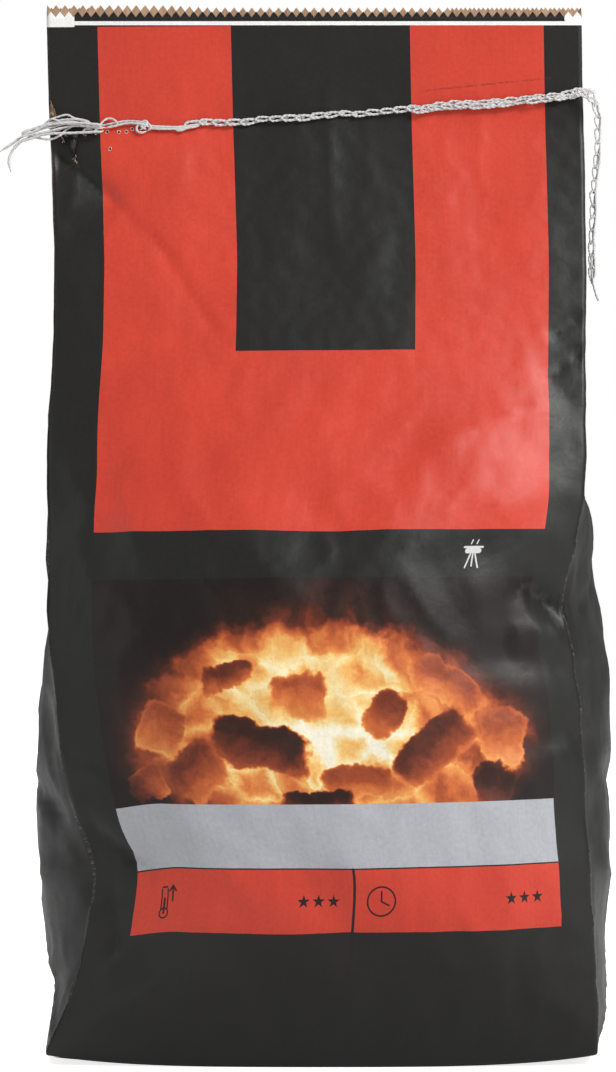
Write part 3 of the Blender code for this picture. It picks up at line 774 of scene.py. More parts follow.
# Its back is bare bleached paper, seen only down the mouth.
bare_paper, tree, shader = new_material("bleached_kraft_back")
place = add(tree, "UVMap", uv_map="paper")
fibres = add(tree, "TexNoise", {"Vector": place, "Scale": 700.0, "Detail": 4.0})
tint = add(tree, "Mix", {"Factor": fibres, "A": linear("#E4E0D8"), "B": linear("#F6F4F0")},
           data_type="RGBA")
fibre_bump = add(tree, "Bump", {"Strength": 0.4, "Distance": 0.00006, "Height": fibres.outputs[0]})
feed(tree, shader, {"Base Color": tint, "Roughness": 0.85, "Normal": fibre_bump})
outer_ply.data.materials.append(bare_paper)


# ---------------------------------------------------------------------------------------------------------
# The inner ply. A tube of plain brown kraft inside the outer one, of the same cut. Its pinked mouth stands a
# few millimetres above the printed ply's, more so at the left, where the sheets have slipped.
# ---------------------------------------------------------------------------------------------------------

INNER_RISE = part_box("inner_ply")[1].z - OUTER_BOX[1].z
INNER_SLIP = 0.0012
KRAFT_THICKNESS = 0.00018


def inner_inset(height):
    """The gap to the outer ply: close where the gussets lie folded, wider where the charcoal fills the sack."""
    return 0.00035 + 0.0006 * min(1.0, max(0.0, (0.36 - height) / 0.06))


def inner_teeth(around):
    slipped = np.clip((-0.055 - around) / 0.02, 0.0, 1.0)
    return TOOTH * (1 - np.arange(len(around)) % 2) + INNER_SLIP * slipped


inner_rows = paper_rows(MOUTH)
inner_rows[-1] += INNER_RISE
inner_ply = paper_tube("kraft_inner_ply", inner_rows, around_the_sack, inner_inset, inner_teeth, KRAFT_THICKNESS)
for vertex in inner_ply.data.vertices:
    vertex.co.z = max(vertex.co.z, 0.0016)
kraft, tree, shader = new_material("unbleached_kraft_paper")
place = add(tree, "UVMap", uv_map="paper")
long_fibres = add(tree, "Mapping", {"Vector": place, "Scale": (1400.0, 350.0, 1.0)})
fibres = add(tree, "TexNoise", {"Vector": long_fibres, "Scale": 1.0, "Detail": 5.0, "Roughness": 0.7})
patches = add(tree, "TexNoise", {"Vector": place, "Scale": 120.0, "Detail": 3.0})
shade = add(tree, "Math", {0: fibres.outputs[0], 1: patches.outputs[0]}, operation="ADD")
shade = add(tree, "MapRange", {0: shade, 1: 0.7, 2: 1.3})
browns = add(tree, "ValToRGB", {0: shade})
browns.color_ramp.elements[0].color = linear("#8C6A4E")
browns.color_ramp.elements[1].color = linear("#C2A184")
kraft_bump = add(tree, "Bump", {"Strength": 0.5, "Distance": 0.00008, "Height": fibres.outputs[0]})
feed(tree, shader, {"Base Color": browns, "Roughness": 0.88, "Normal": kraft_bump})
inner_ply.data.materials.append(kraft)
inner_ply.data.materials.append(kraft)
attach(inner_ply, "root")
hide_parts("inner_ply")


# ---------------------------------------------------------------------------------------------------------
# The block bottom. The tube's end is folded in from the front and back over the two side pockets, and the
# flaps are pasted one over the other. They lie flat under the sack, a sheet's thickness thick.
# ---------------------------------------------------------------------------------------------------------

FLAP_THICKNESS = 0.00022
FLAP_WAVE = 0.00006


def lay_paper_uv(mesh_builder, place_of):
    """Gives each corner of each face its place on the flat sheet, worked out from its point."""
    places = mesh_builder.loops.layers.uv.new("paper")
    for face in mesh_builder.faces:
        for loop in face.loops:
            loop[places].uv = place_of(loop.vert.co)


def finished_piece(name, mesh_builder, surfaces, nodes, smooth=True):
    """Turns a built mesh into a piece of the sack that stands for the CAD nodes of those names."""
    mesh = bpy.data.meshes.new(name)
    mesh_builder.to_mesh(mesh)
    mesh_builder.free()
    if smooth:
        mesh.shade_smooth()
    for surface in surfaces:
        mesh.materials.append(surface)
    piece = bpy.data.objects.new(name, mesh)
    bpy.context.scene.collection.objects.link(piece)
    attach(piece, "root")
    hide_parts(*nodes)
    return piece


def pasted_flap(name, corners, level, seed):
    """A folded-in flap as a thin closed sheet between four corners, following the turned-up bottom corners."""
    across, deep = 40, 14
    mesh_builder = bmesh.new()
    layers_of_points = []
    for layer in (0, 1):
        grid = []
        for i in range(deep + 1):
            row = []
            for k in range(across + 1):
                a, b = k / across, i / deep
                near = corners[0].lerp(corners[1], a)
                far = corners[3].lerp(corners[2], a)
                spot = near.lerp(far, b)
                lift = float(bottom_lift(np.array(spot.x), 0.0)) * min(1.0, abs(spot.y) / 0.066) ** 3
                wave = FLAP_WAVE * noise.noise(Vector((spot.x * 60, spot.y * 60, seed)))
                row.append(mesh_builder.verts.new((spot.x, spot.y, level + lift + wave + layer * FLAP_THICKNESS)))
            grid.append(row)
        layers_of_points.append(grid)
    low, high = layers_of_points
    for i in range(deep):
        for k in range(across):
            mesh_builder.faces.new((low[i][k], low[i + 1][k], low[i + 1][k + 1], low[i][k + 1]))
            mesh_builder.faces.new((high[i][k], high[i][k + 1], high[i + 1][k + 1], high[i + 1][k]))
    edge = [(0, k) for k in range(across)] + [(i, across) for i in range(deep)]
    edge += [(deep, k) for k in range(across, 0, -1)] + [(i, 0) for i in range(deep, 0, -1)]
    for (i, k), (j, m) in zip(edge, edge[1:] + edge[:1]):
        mesh_builder.faces.new((low[i][k], low[j][m], high[j][m], high[i][k]))
    bmesh.ops.recalc_face_normals(mesh_builder, faces=mesh_builder.faces)
    # On the sheet the flaps are black, as the gussets are, so they take a place there.
    lay_paper_uv(mesh_builder, lambda spot: (FACE / 2 + GUSSET / 2 + spot.x * 0.4, 0.2 + spot.y))
    finished_piece(name, mesh_builder, [outer_print], ["outer_ply"])


for name, side, width, reach, level, seed in (("bottom_flap_back", 1, 0.082, 0.020, 0.00042, 3),
                                              ("bottom_flap_front", -1, 0.078, 0.016, 0.00012, 8)):
    pasted_flap(name, [Vector(corner) for corner in (
        (-0.133, 0.064 * side, 0), (0.133, 0.064 * side, 0), (width, -reach * side, 0), (-width, -reach * side, 0)
    )], level, seed)


# ---------------------------------------------------------------------------------------------------------
# The charcoal. Charred hardwood branches broken into lumps: black, light and brittle, with end grain, long
# splits where the wood shrank, and a film of grey ash dust on the high spots. They lie loose in the sack.
# ---------------------------------------------------------------------------------------------------------

LUMP_CUTS = 4
GRAIN_DEPTH = 0.0012
CHIP_DEPTH = 0.0028
WALL_CLEARANCE = 0.0012

char, tree, shader = new_material("lump_charcoal")
place = add(tree, "TexCoord").outputs["Object"]
pores = add(tree, "TexNoise", {"Vector": place, "Scale": 900.0, "Detail": 4.0, "Roughness": 0.7})
grain = add(tree, "Mapping", {"Vector": place, "Scale": (60.0, 500.0, 500.0)})
grain = add(tree, "TexNoise", {"Vector": grain, "Scale": 1.0, "Detail": 5.0, "Roughness": 0.6})
splits = add(tree, "TexVoronoi", {"Vector": place, "Scale": 110.0}, feature="DISTANCE_TO_EDGE")
splits = add(tree, "MapRange", {0: splits, 1: 0.0, 2: 0.12})
ash = add(tree, "TexNoise", {"Vector": place, "Scale": 70.0, "Detail": 6.0, "Roughness": 0.75})
ash = add(tree, "MapRange", {0: ash, 1: 0.50, 2: 0.72, 3: 0.0, 4: 0.55})
black = add(tree, "Mix", {"Factor": grain, "A": linear("#141312"), "B": linear("#2C2A28")},
            data_type="RGBA")
dusted = add(tree, "Mix", {"Factor": ash, "A": black, "B": linear("#5E5B57")}, data_type="RGBA")
sooty = add(tree, "MapRange", {0: grain, 3: 0.45, 4: 0.85})
split_bump = add(tree, "Bump", {"Strength": 0.7, "Distance": 0.0012, "Height": splits})
grain_bump = add(tree, "Bump", {"Strength": 0.5, "Distance": 0.0004, "Height": grain.outputs[0],
                                          "Normal": split_bump})
pore_bump = add(tree, "Bump", {"Strength": 0.4, "Distance": 0.00015, "Height": pores.outputs[0],
                                         "Normal": grain_bump})
feed(tree, shader, {"Base Color": dusted, "Roughness": sooty, "Normal": pore_bump})

wall = BVHTree.FromObject(inner_ply, bpy.context.evaluated_depsgraph_get())
for lump_name in sorted(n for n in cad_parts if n.startswith("charcoal_lump_")):
    number = int(lump_name[-2:])
    mesh_builder = bmesh.new()
    mesh_builder.from_mesh(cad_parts[lump_name].data)
    bmesh.ops.remove_doubles(mesh_builder, verts=mesh_builder.verts, dist=1e-5)
    bmesh.ops.recalc_face_normals(mesh_builder, faces=mesh_builder.faces)
    bmesh.ops.subdivide_edges(mesh_builder, edges=mesh_builder.edges, cuts=LUMP_CUTS, use_grid_fill=True)
    middle = sum((v.co for v in mesh_builder.verts), Vector()) / len(mesh_builder.verts)
    for vertex in mesh_builder.verts:
        spot = vertex.co + Vector((number * 0.31, 0, 0))
        rough = 0.5 + 0.5 * noise.fractal(spot * 90, 0.9, 2.1, 4)
        chip = abs(noise.noise(spot * 38))
        inwards = middle - vertex.co
        sunk = (GRAIN_DEPTH * rough + CHIP_DEPTH * chip) / max(0.004, inwards.length)
        vertex.co += inwards * min(0.4, sunk)
    for vertex in mesh_builder.verts:
        for attempt in range(8):
            nearest, outwards = wall.find_nearest(vertex.co)[:2]
            out = vertex.co - nearest
            if out.length > 0.02 or (outwards.dot(out) < 0 and out.length > WALL_CLEARANCE):
                break
            vertex.co = vertex.co.lerp(middle, 0.08)
    finished_piece("broken_" + lump_name, mesh_builder, [char], [lump_name], smooth=False)


# ---------------------------------------------------------------------------------------------------------
# The yarn: two-ply spun polyester, off-white, 1.3 mm thick, with a soft fuzz. It is the same in the chain on
# the front, the straight stitches on the back, and the loose ends.
# ---------------------------------------------------------------------------------------------------------

spun_polyester, tree, shader = new_material("spun_polyester_yarn")
place = add(tree, "TexCoord").outputs["Object"]
filaments = add(tree, "TexNoise", {"Vector": place, "Scale": 2600.0, "Detail": 3.0, "Roughness": 0.7})
soiling = add(tree, "TexNoise", {"Vector": place, "Scale": 160.0, "Detail": 3.0})
shade = add(tree, "Math", {0: soiling, 1: 0.7, 2: 0.15}, operation="MULTIPLY_ADD")
yarn_tint = add(tree, "Mix", {"Factor": shade, "A": linear("#C9C7C6"), "B": linear("#F0EEED")},
                data_type="RGBA")
speckle = add(tree, "MapRange", {0: filaments, 1: 0.3, 2: 0.7, 3: 0.82, 4: 1.05})
yarn_tint = add(tree, "VectorMath", {0: yarn_tint, 3: speckle}, operation="SCALE")
filament_bump = add(tree, "Bump", {"Strength": 0.8, "Distance": 0.00012, "Height": filaments.outputs[0]})
feed(tree, shader, {"Base Color": yarn_tint, "Roughness": 0.75, "Sheen Weight": 0.15, "Normal": filament_bump})

YARN = 0.0013
PLY_TWIST = 0.0030
END_TAPER = 0.35


def smooth_route(places, steps):
    """Points along a smooth curve through the places, with that many steps between each two."""
    ends = [places[0]] + list(places) + [places[-1]]
    made = []
    for a, b, c, d in zip(ends, ends[1:], ends[2:], ends[3:]):
        for k in range(steps):
            t = k / steps
            made.append(tuple(
                0.5 * (2 * q + (r - p) * t + (2 * p - 5 * q + 4 * r - s) * t ** 2 + (3 * q - p - 3 * r + s) * t ** 3)
                for p, q, r, s in zip(a, b, c, d)))
    return made + [tuple(places[-1])]


def yarn_along(mesh_builder, route, thickness):
    """Adds a length of two-ply yarn along a route of points: two plies that wind round each other."""
    route = np.array(route)
    steps = np.concatenate([[0.0], np.cumsum(np.linalg.norm(np.diff(route, axis=0), axis=1))])
    length = steps[-1]
    count = max(4, int(length / (0.42 * thickness)))
    at = np.linspace(0, length, count)
    line = np.stack([np.interp(at, steps, route[:, k]) for k in range(3)], axis=1)
    tangents = np.gradient(line, axis=0)
    tangents /= np.maximum(1e-9, np.linalg.norm(tangents, axis=1))[:, None]
    side = np.cross(tangents[0], (0.31, 0.93, 0.2))
    rings = []
    sides = 8
    for i in range(count):
        side = side - tangents[i] * side.dot(tangents[i])
        side /= np.linalg.norm(side)
        over = np.cross(tangents[i], side)
        from_end = min(at[i], length - at[i]) / (1.5 * thickness)
        reach = thickness / 2 * (END_TAPER + (1 - END_TAPER) * min(1.0, from_end))
        twist = math.pi * at[i] / (PLY_TWIST * thickness / YARN)
        ring = []
        for k in range(sides):
            angle = 2 * math.pi * k / sides
            lobe = 0.80 + 0.28 * abs(math.cos(angle))
            direction = side * math.cos(angle + twist) + over * math.sin(angle + twist)
            ring.append(mesh_builder.verts.new(line[i] + direction * reach * lobe))
        rings.append(ring)
    for a, b in zip(rings, rings[1:]):
        for k in range(sides):
            n = (k + 1) % sides
            mesh_builder.faces.new((a[k], a[n], b[n], b[k]))
    mesh_builder.faces.new(rings[0][::-1])
    mesh_builder.faces.new(rings[-1])


def frayed_end(mesh_builder, tip, direction, thickness, chance):
    """Adds the loose filaments at a yarn's cut end."""
    direction = Vector(direction).normalized()
    for filament in range(6):
        spread = Vector([chance.uniform(-0.7, 0.7) for axis in range(3)])
        away = (direction + spread).normalized()
        reach = chance.uniform(0.5, 1.1) * thickness
        start = Vector(tip) - direction * thickness
        yarn_along(mesh_builder, [start, start + away * reach * 0.5 + direction * thickness,
                                  start + away * reach + direction * thickness], thickness * 0.24)


def finished_thread(name, mesh_builder, node):
    """Turns yarn into a piece that stands for the CAD's thread of that name."""
    bmesh.ops.recalc_face_normals(mesh_builder, faces=mesh_builder.faces)
    return finished_piece(name, mesh_builder, [spun_polyester], [node])


# ---------------------------------------------------------------------------------------------------------
# The closing seam: a two-thread chain stitch through all the plies. The looper yarn lies on the front as a
# chain of teardrop loops, 7.3 mm apart, each caught in the next one's round head. It has drawn up thick over
# the right third, and has pulled straight at the left.
# ---------------------------------------------------------------------------------------------------------

SEAM_LEFT_HEIGHT = 0.479
SEAM_RIGHT_HEIGHT = 0.4985
SEAM_START = -0.110
SEAM_LENGTH = 0.246
CHAIN_SAG = 0.0022
PITCH = 0.0073
LOOP_LENGTH = 0.0102
LOOP_HEIGHT = 0.0036
LINK_TURNS = 10
LINK_POINTS = 40

paper_front = BVHTree.FromObject(outer_ply, bpy.context.evaluated_depsgraph_get())


def front_surface(x, z):
    """How far forward the printed paper is at a place on the front."""
    hit = paper_front.ray_cast(Vector((x, -0.4, z)), Vector((0, 1, 0)))[0]
    return hit.y if hit else -0.0035


def seam_height(x):
    return SEAM_LEFT_HEIGHT + (SEAM_RIGHT_HEIGHT - SEAM_LEFT_HEIGHT) * (x / FACE + 0.5)


chain_tree = bpy.data.node_groups.new("chain_stitch", "GeometryNodeTree")
chain_tree.interface.new_socket("Geometry", in_out="OUTPUT", socket_type="NodeSocketGeometry")
for name, kind in (("Path", "Geometry"), ("Pitch", "Float"), ("Loop Length", "Float"), ("Loop Height", "Float"),
                   ("Yarn Thickness", "Float"), ("Overlap Depth", "Float"), ("Unevenness", "Float"),
                   ("Seed", "Int"), ("Yarn", "Material")):
    chain_tree.interface.new_socket(name, in_out="INPUT", socket_type="NodeSocket" + kind)
sizes = add(chain_tree, "NodeGroupInput").outputs
places = add(chain_tree, "GeometryNodeResampleCurve", {"Curve": sizes["Path"], "Length": sizes["Pitch"]},
             mode="LENGTH")
along_seam = add(chain_tree, "GeometryNodeInputTangent")
heading = add(chain_tree, "FunctionNodeAlignRotationToVector", {"Vector": along_seam}, axis="X")
least = add(chain_tree, "Math", {0: sizes["Unevenness"], 1: -1.0}, operation="MULTIPLY")
sway = add(chain_tree, "FunctionNodeRandomValue", {0: least, 1: sizes["Unevenness"], "Seed": sizes["Seed"]},
           data_type="FLOAT_VECTOR")
sway = add(chain_tree, "FunctionNodeEulerToRotation", {0: sway})
heading = add(chain_tree, "FunctionNodeRotateRotation", {"Rotation": heading, "Rotate By": sway},
              rotation_space="LOCAL")
pulled = add(chain_tree, "FunctionNodeRandomValue", {2: 0.86, 3: 1.10, "Seed": sizes["Seed"]}, data_type="FLOAT")
loop = add(chain_tree, "GeometryNodeCurvePrimitiveCircle", {"Resolution": LINK_POINTS, "Radius": 1.0}, mode="RADIUS")
spot = add(chain_tree, "SeparateXYZ", {0: add(chain_tree, "GeometryNodeInputPosition")})
narrowing = add(chain_tree, "MapRange", {0: spot.outputs[0], 1: -1.0, 2: 1.0, 3: 1.0, 4: 0.16})
half_length = add(chain_tree, "Math", {0: sizes["Loop Length"], 1: 0.5}, operation="MULTIPLY")
half_height = add(chain_tree, "Math", {0: sizes["Loop Height"], 1: 0.5}, operation="MULTIPLY")
half_height = add(chain_tree, "Math", {0: half_height, 1: narrowing}, operation="MULTIPLY")
loop_x = add(chain_tree, "Math", {0: spot.outputs[0], 1: half_length}, operation="MULTIPLY")
loop_y = add(chain_tree, "Math", {0: spot.outputs[0], 1: sizes["Overlap Depth"]}, operation="MULTIPLY")
loop_z = add(chain_tree, "Math", {0: spot.outputs[1], 1: half_height}, operation="MULTIPLY")
teardrop = add(chain_tree, "CombineXYZ", {0: loop_x, 1: loop_y, 2: loop_z})
loop = add(chain_tree, "GeometryNodeSetPosition", {"Geometry": loop, "Position": teardrop})
lay = add(chain_tree, "Math", {0: add(chain_tree, "GeometryNodeSplineParameter"),
                                         1: LINK_TURNS * math.pi}, operation="MULTIPLY")
loop = add(chain_tree, "GeometryNodeSetCurveTilt", {"Curve": loop, "Tilt": lay})
half_yarn = add(chain_tree, "Math", {0: sizes["Yarn Thickness"], 1: 0.5}, operation="MULTIPLY")
plies = add(chain_tree, "GeometryNodeCurvePrimitiveCircle", {"Resolution": 8, "Radius": half_yarn}, mode="RADIUS")
flat = add(chain_tree, "GeometryNodeInputPosition")
flat = add(chain_tree, "VectorMath", {0: flat, 1: (1.18, 0.78, 1.0)}, operation="MULTIPLY")
plies = add(chain_tree, "GeometryNodeSetPosition", {"Geometry": plies, "Position": flat})
link = add(chain_tree, "GeometryNodeCurveToMesh", {"Curve": loop, "Profile Curve": plies})
links = add(chain_tree, "GeometryNodeInstanceOnPoints", {"Points": places, "Instance": link, "Rotation": heading,
                                                         "Scale": pulled})
links = add(chain_tree, "GeometryNodeRealizeInstances", {"Geometry": links})
links = add(chain_tree, "GeometryNodeSetShadeSmooth", {"Geometry": links})
links = add(chain_tree, "GeometryNodeSetMaterial", {"Geometry": links, "Material": sizes["Yarn"]})
add(chain_tree, "NodeGroupOutput", {"Geometry": links})


def chained(mesh_builder, route, **sizes_given):
    """Adds a run of chain stitch along a route, made by the chain_stitch tree with those sizes."""
    curve = bpy.data.curves.new("run", "CURVE")
    curve.dimensions = "3D"
    spline = curve.splines.new("POLY")
    spline.points.add(len(route) - 1)
    for point, place_on_route in zip(spline.points, route):
        point.co = (*place_on_route, 1.0)
    run = bpy.data.objects.new("run", curve)
    bpy.context.scene.collection.objects.link(run)
    stitching = run.modifiers.new("chain_stitch", "NODES")
    stitching.node_group = chain_tree
    sockets = {s.name: s.identifier for s in chain_tree.interface.items_tree if s.in_out == "INPUT"}
    stitching[sockets["Yarn"]] = spun_polyester
    for size_name, size in sizes_given.items():
        stitching[sockets[size_name.replace("_", " ").title()]] = size
    graph = bpy.context.evaluated_depsgraph_get()
    graph.update()
    made = bpy.data.meshes.new_from_object(run.evaluated_get(graph))
    mesh_builder.from_mesh(made)
    run.modifiers.remove(stitching)
    bpy.data.objects.remove(run)
    bpy.data.meshes.remove(made)
    bpy.data.curves.remove(curve)


def seam_run(start, end, stand_off, shift):
    """The seam's path on the front between two places across it, as far from the paper as stand_off."""
    route = []
    for x in np.linspace(start, end, 60):
        share = min(1.0, max(0.0, (x - SEAM_START) / SEAM_LENGTH))
        z = seam_height(x) - CHAIN_SAG * min(1.0, 4 * share) * min(1.0, 8 * (1 - share)) + shift
        z += 0.0004 * math.sin(x * 190) + 0.0003 * math.sin(x * 430)
        edge_turn = 0.0016 * max(0.0, (x - 0.130) / 0.008) ** 2
        route.append((x, front_surface(min(x, 0.1355), z) - stand_off + edge_turn, z))
    return route


chance = random.Random(5)
chain_builder = bmesh.new()
chained(chain_builder, seam_run(-0.0640, 0.0520, 0.0014, 0.0), pitch=PITCH, loop_length=LOOP_LENGTH,
        loop_height=LOOP_HEIGHT, yarn_thickness=YARN, overlap_depth=0.0006, unevenness=0.10, seed=3)
chained(chain_builder, seam_run(0.0520, 0.1390, 0.0016, 0.0006), pitch=PITCH, loop_length=0.0118,
        loop_height=0.0044, yarn_thickness=YARN * 1.05, overlap_depth=0.0007, unevenness=0.12, seed=8)
chained(chain_builder, seam_run(0.0560, 0.1370, 0.0023, -0.0004), pitch=PITCH, loop_length=0.0122,
        loop_height=0.0030, yarn_thickness=YARN, overlap_depth=0.0008, unevenness=0.16, seed=11)
# The pulled-out start: two strands from the first loop to a knot, and two more from there to the left edge.
STRANDS = (
    ((-0.0600, 0.4825), (-0.0680, 0.4812), (-0.0740, 0.4806), (-0.0820, 0.4808), (-0.0885, 0.4812)),
    ((-0.0620, 0.4812), (-0.0690, 0.4800), (-0.0750, 0.4796), (-0.0820, 0.4796), (-0.0885, 0.4800)),
    ((-0.0660, 0.4820), (-0.0700, 0.4792), (-0.0735, 0.4788), (-0.0745, 0.4802)),
    ((-0.0880, 0.4822), (-0.0930, 0.4834), (-0.1000, 0.4838), (-0.1060, 0.4828), (-0.1115, 0.4818)),
    ((-0.0880, 0.4806), (-0.0930, 0.4822), (-0.1000, 0.4826), (-0.1060, 0.4812), (-0.1110, 0.4802)),
    ((-0.1040, 0.4815), (-0.1065, 0.4845), (-0.1095, 0.4852), (-0.1120, 0.4838), (-0.1150, 0.4806)),
    ((-0.0895, 0.4784), (-0.0915, 0.4776), (-0.0940, 0.4782), (-0.0948, 0.4802), (-0.0935, 0.4818),
     (-0.0905, 0.4826), (-0.0878, 0.4818), (-0.0872, 0.4798), (-0.0892, 0.4786)),
    ((-0.0930, 0.4790), (-0.0905, 0.4806), (-0.0890, 0.4826), (-0.0902, 0.4838), (-0.0925, 0.4828),
     (-0.0918, 0.4804), (-0.0896, 0.4794)),
)
for line in STRANDS:
    lift = chance.uniform(0.0009, 0.0017)
    strand = [(x, front_surface(x, z) - lift - 0.0004 * (k % 2), z) for k, (x, z) in enumerate(line)]
    yarn_along(chain_builder, smooth_route(strand, 6), YARN * chance.uniform(0.88, 1.02))
# The tangle at the left edge: loops that ran back when the stitches let go, drawn together beyond the edge.
TANGLE = (
    ((-0.1110, 0.4818), (-0.1170, 0.4814), (-0.1230, 0.4826), (-0.1310, 0.4836), (-0.1400, 0.4808),
     (-0.1480, 0.4780), (-0.1530, 0.4768)),
    ((-0.1110, 0.4804), (-0.1160, 0.4806), (-0.1206, 0.4838), (-0.1270, 0.4852), (-0.1310, 0.4870), (-0.1360, 0.4858),
     (-0.1410, 0.4836), (-0.1430, 0.4812), (-0.1400, 0.4800), (-0.1340, 0.4816), (-0.1280, 0.4830)),
    ((-0.1130, 0.4808), (-0.1180, 0.4822), (-0.1240, 0.4842), (-0.1300, 0.4846), (-0.1360, 0.4838), (-0.1420, 0.4818),
     (-0.1500, 0.4790), (-0.1548, 0.4766)),
    ((-0.1140, 0.4796), (-0.1190, 0.4806), (-0.1250, 0.4812), (-0.1310, 0.4806), (-0.1370, 0.4790), (-0.1440, 0.4772),
     (-0.1520, 0.4758), (-0.1556, 0.4748)),
    ((-0.1250, 0.4826), (-0.1310, 0.4796), (-0.1345, 0.4762), (-0.1397, 0.4740), (-0.1450, 0.4744), (-0.1500, 0.4756),
     (-0.1540, 0.4770), (-0.1520, 0.4786), (-0.1470, 0.4790)),
    ((-0.1160, 0.4784), (-0.1195, 0.4776), (-0.1225, 0.4782), (-0.1210, 0.4796), (-0.1175, 0.4794)),
    ((-0.1120, 0.4786), (-0.1140, 0.4778), (-0.1162, 0.4784), (-0.1152, 0.4798), (-0.1124, 0.4798)),
    ((-0.1210, 0.4830), (-0.1260, 0.4818), (-0.1330, 0.4824), (-0.1380, 0.4846), (-0.1405, 0.4842)),
    ((-0.1300, 0.4812), (-0.1380, 0.4780), (-0.1450, 0.4762), (-0.1530, 0.4740), (-0.1565, 0.4714),
     (-0.1579, 0.4694)),
)
for number, line in enumerate(TANGLE):
    lift = 0.0010 + 0.0005 * (number % 4)
    strand = [(x, front_surface(max(x, -0.137), z) - lift - 0.0022 * min(1.0, max(0.0, (-0.118 - x) / 0.02))
               - 0.0005 * math.sin(7 * k + number), z) for k, (x, z) in enumerate(line)]
    yarn_along(chain_builder, smooth_route(strand, 6), YARN * chance.uniform(0.82, 1.0))
frayed_end(chain_builder, (-0.1579, -0.0080, 0.4694), (-0.6, 0, -0.8), YARN, chance)
finished_thread("looper_chain_stitches", chain_builder, "looper_chain")


# ---------------------------------------------------------------------------------------------------------
# The needle yarn. It goes in and out through the plies, and on the back it lies as straight stitches, one
# to each loop of the chain.
# ---------------------------------------------------------------------------------------------------------

def back_surface(x, z):
    hit = paper_front.ray_cast(Vector((x, 0.4, z)), Vector((0, -1, 0)))[0]
    return hit.y if hit else 0.0035


needle_builder = bmesh.new()
needle_route = []
for x in np.arange(-0.1340, 0.1350, PITCH / 8):
    dip = math.cos(2 * math.pi * (x + 0.134) / PITCH)
    z = seam_height(x) - 0.0006
    y = back_surface(x, z) + 0.0006 - 0.0010 * max(0.0, dip) ** 4
    needle_route.append((x, y, z + 0.0002 * math.sin(x * 700)))
yarn_along(needle_builder, needle_route, YARN)
finished_thread("needle_thread_stitches", needle_builder, "needle_thread")


# ---------------------------------------------------------------------------------------------------------
# The loose ends. At the right the chain runs off the sack and hangs 107 mm down, open loops with a second
# yarn beside them, to one thin cut strand. At the left two cut yarns reach out of the tangle.
# ---------------------------------------------------------------------------------------------------------

CHAIN_TAIL_RIGHT = (
    (0.1385, -0.0072, 0.4975),
    (0.1425, -0.0072, 0.4960),
    (0.1455, -0.0070, 0.4880),
    (0.1460, -0.0066, 0.4740),
    (0.1440, -0.0062, 0.4478),
    (0.1430, -0.0060, 0.4269),
    (0.1430, -0.0060, 0.4034),
    (0.1460, -0.0064, 0.3903),
)
NEEDLE_TAIL_LEFT = (
    (-0.1125, -0.0080, 0.4815),
    (-0.1270, -0.0082, 0.4825),
    (-0.1410, -0.0082, 0.4815),
    (-0.1470, -0.0080, 0.4785),
    (-0.1540, -0.0078, 0.4755),
    (-0.1605, -0.0075, 0.4710),
    (-0.1651, -0.0072, 0.4682),
)
LOOPER_TAIL_LEFT = (
    (-0.1125, -0.0082, 0.4780),
    (-0.1270, -0.0086, 0.4772),
    (-0.1415, -0.0090, 0.4765),
    (-0.1500, -0.0092, 0.4740),
    (-0.1565, -0.0092, 0.4715),
    (-0.1610, -0.0090, 0.4640),
    (-0.1604, -0.0087, 0.4577),
)
TAIL_YARN = 0.0010
LEFT_YARN = 0.0016


tail_route = smooth_route(CHAIN_TAIL_RIGHT, 6)
loops_end = int(len(tail_route) * 0.87)
tail_builder = bmesh.new()
chained(tail_builder, tail_route[:9], pitch=0.0042, loop_length=0.0064, loop_height=0.0034, yarn_thickness=YARN,
        overlap_depth=0.0006, unevenness=0.16, seed=4)
chained(tail_builder, tail_route[7:loops_end], pitch=0.0064, loop_length=0.0078, loop_height=0.0042,
        yarn_thickness=TAIL_YARN, overlap_depth=0.0005, unevenness=0.13, seed=6)
looped = list(enumerate(tail_route[12:loops_end]))
beside = [(x + 0.0014 + 0.0004 * math.sin(k * 0.9), y - 0.0004, z) for k, (x, y, z) in looped]
yarn_along(tail_builder, beside + tail_route[loops_end:loops_end + 2], TAIL_YARN * 1.15)
looped = list(enumerate(tail_route[9:loops_end]))
beside = [(x + 0.0011 + 0.0006 * math.sin(k * 1.3 + 2), y + 0.0004, z) for k, (x, y, z) in looped]
yarn_along(tail_builder, beside, TAIL_YARN * 0.9)
yarn_along(tail_builder, tail_route[loops_end - 4:], TAIL_YARN * 1.2)
last_step = Vector(tail_route[-1]) - Vector(tail_route[-2])
for back in range(1, 5):
    yarn_along(tail_builder, [Vector(tail_route[-back]), Vector(tail_route[-back]) + last_step * 0.5,
                              Vector(tail_route[-1]) + Vector((0.0006 * (back % 2), 0.0004 * (back - 2), 0))],
               TAIL_YARN * 1.1)
chain_tail = finished_thread("chain_tail", tail_builder, "chain_tail_right")

for name, node, places_along in (("needle_yarn_end", "needle_tail_left", NEEDLE_TAIL_LEFT),
                                 ("looper_yarn_end", "looper_tail_left", LOOPER_TAIL_LEFT)):
    route = smooth_route(places_along, 6)
    end_builder = bmesh.new()
    yarn_along(end_builder, route, LEFT_YARN * 0.9)
    frayed_end(end_builder, route[-1], Vector(route[-1]) - Vector(route[-4]), LEFT_YARN * 0.8, chance)
    yarn_end = finished_thread(name, end_builder, node)


# ---------------------------------------------------------------------------------------------------------
# The damage at the left, where the seam tore: a flap of the printed ply standing out, the brown ply showing
# beside it with its torn fibres, and the needle's holes, their edges pushed up white.
# ---------------------------------------------------------------------------------------------------------

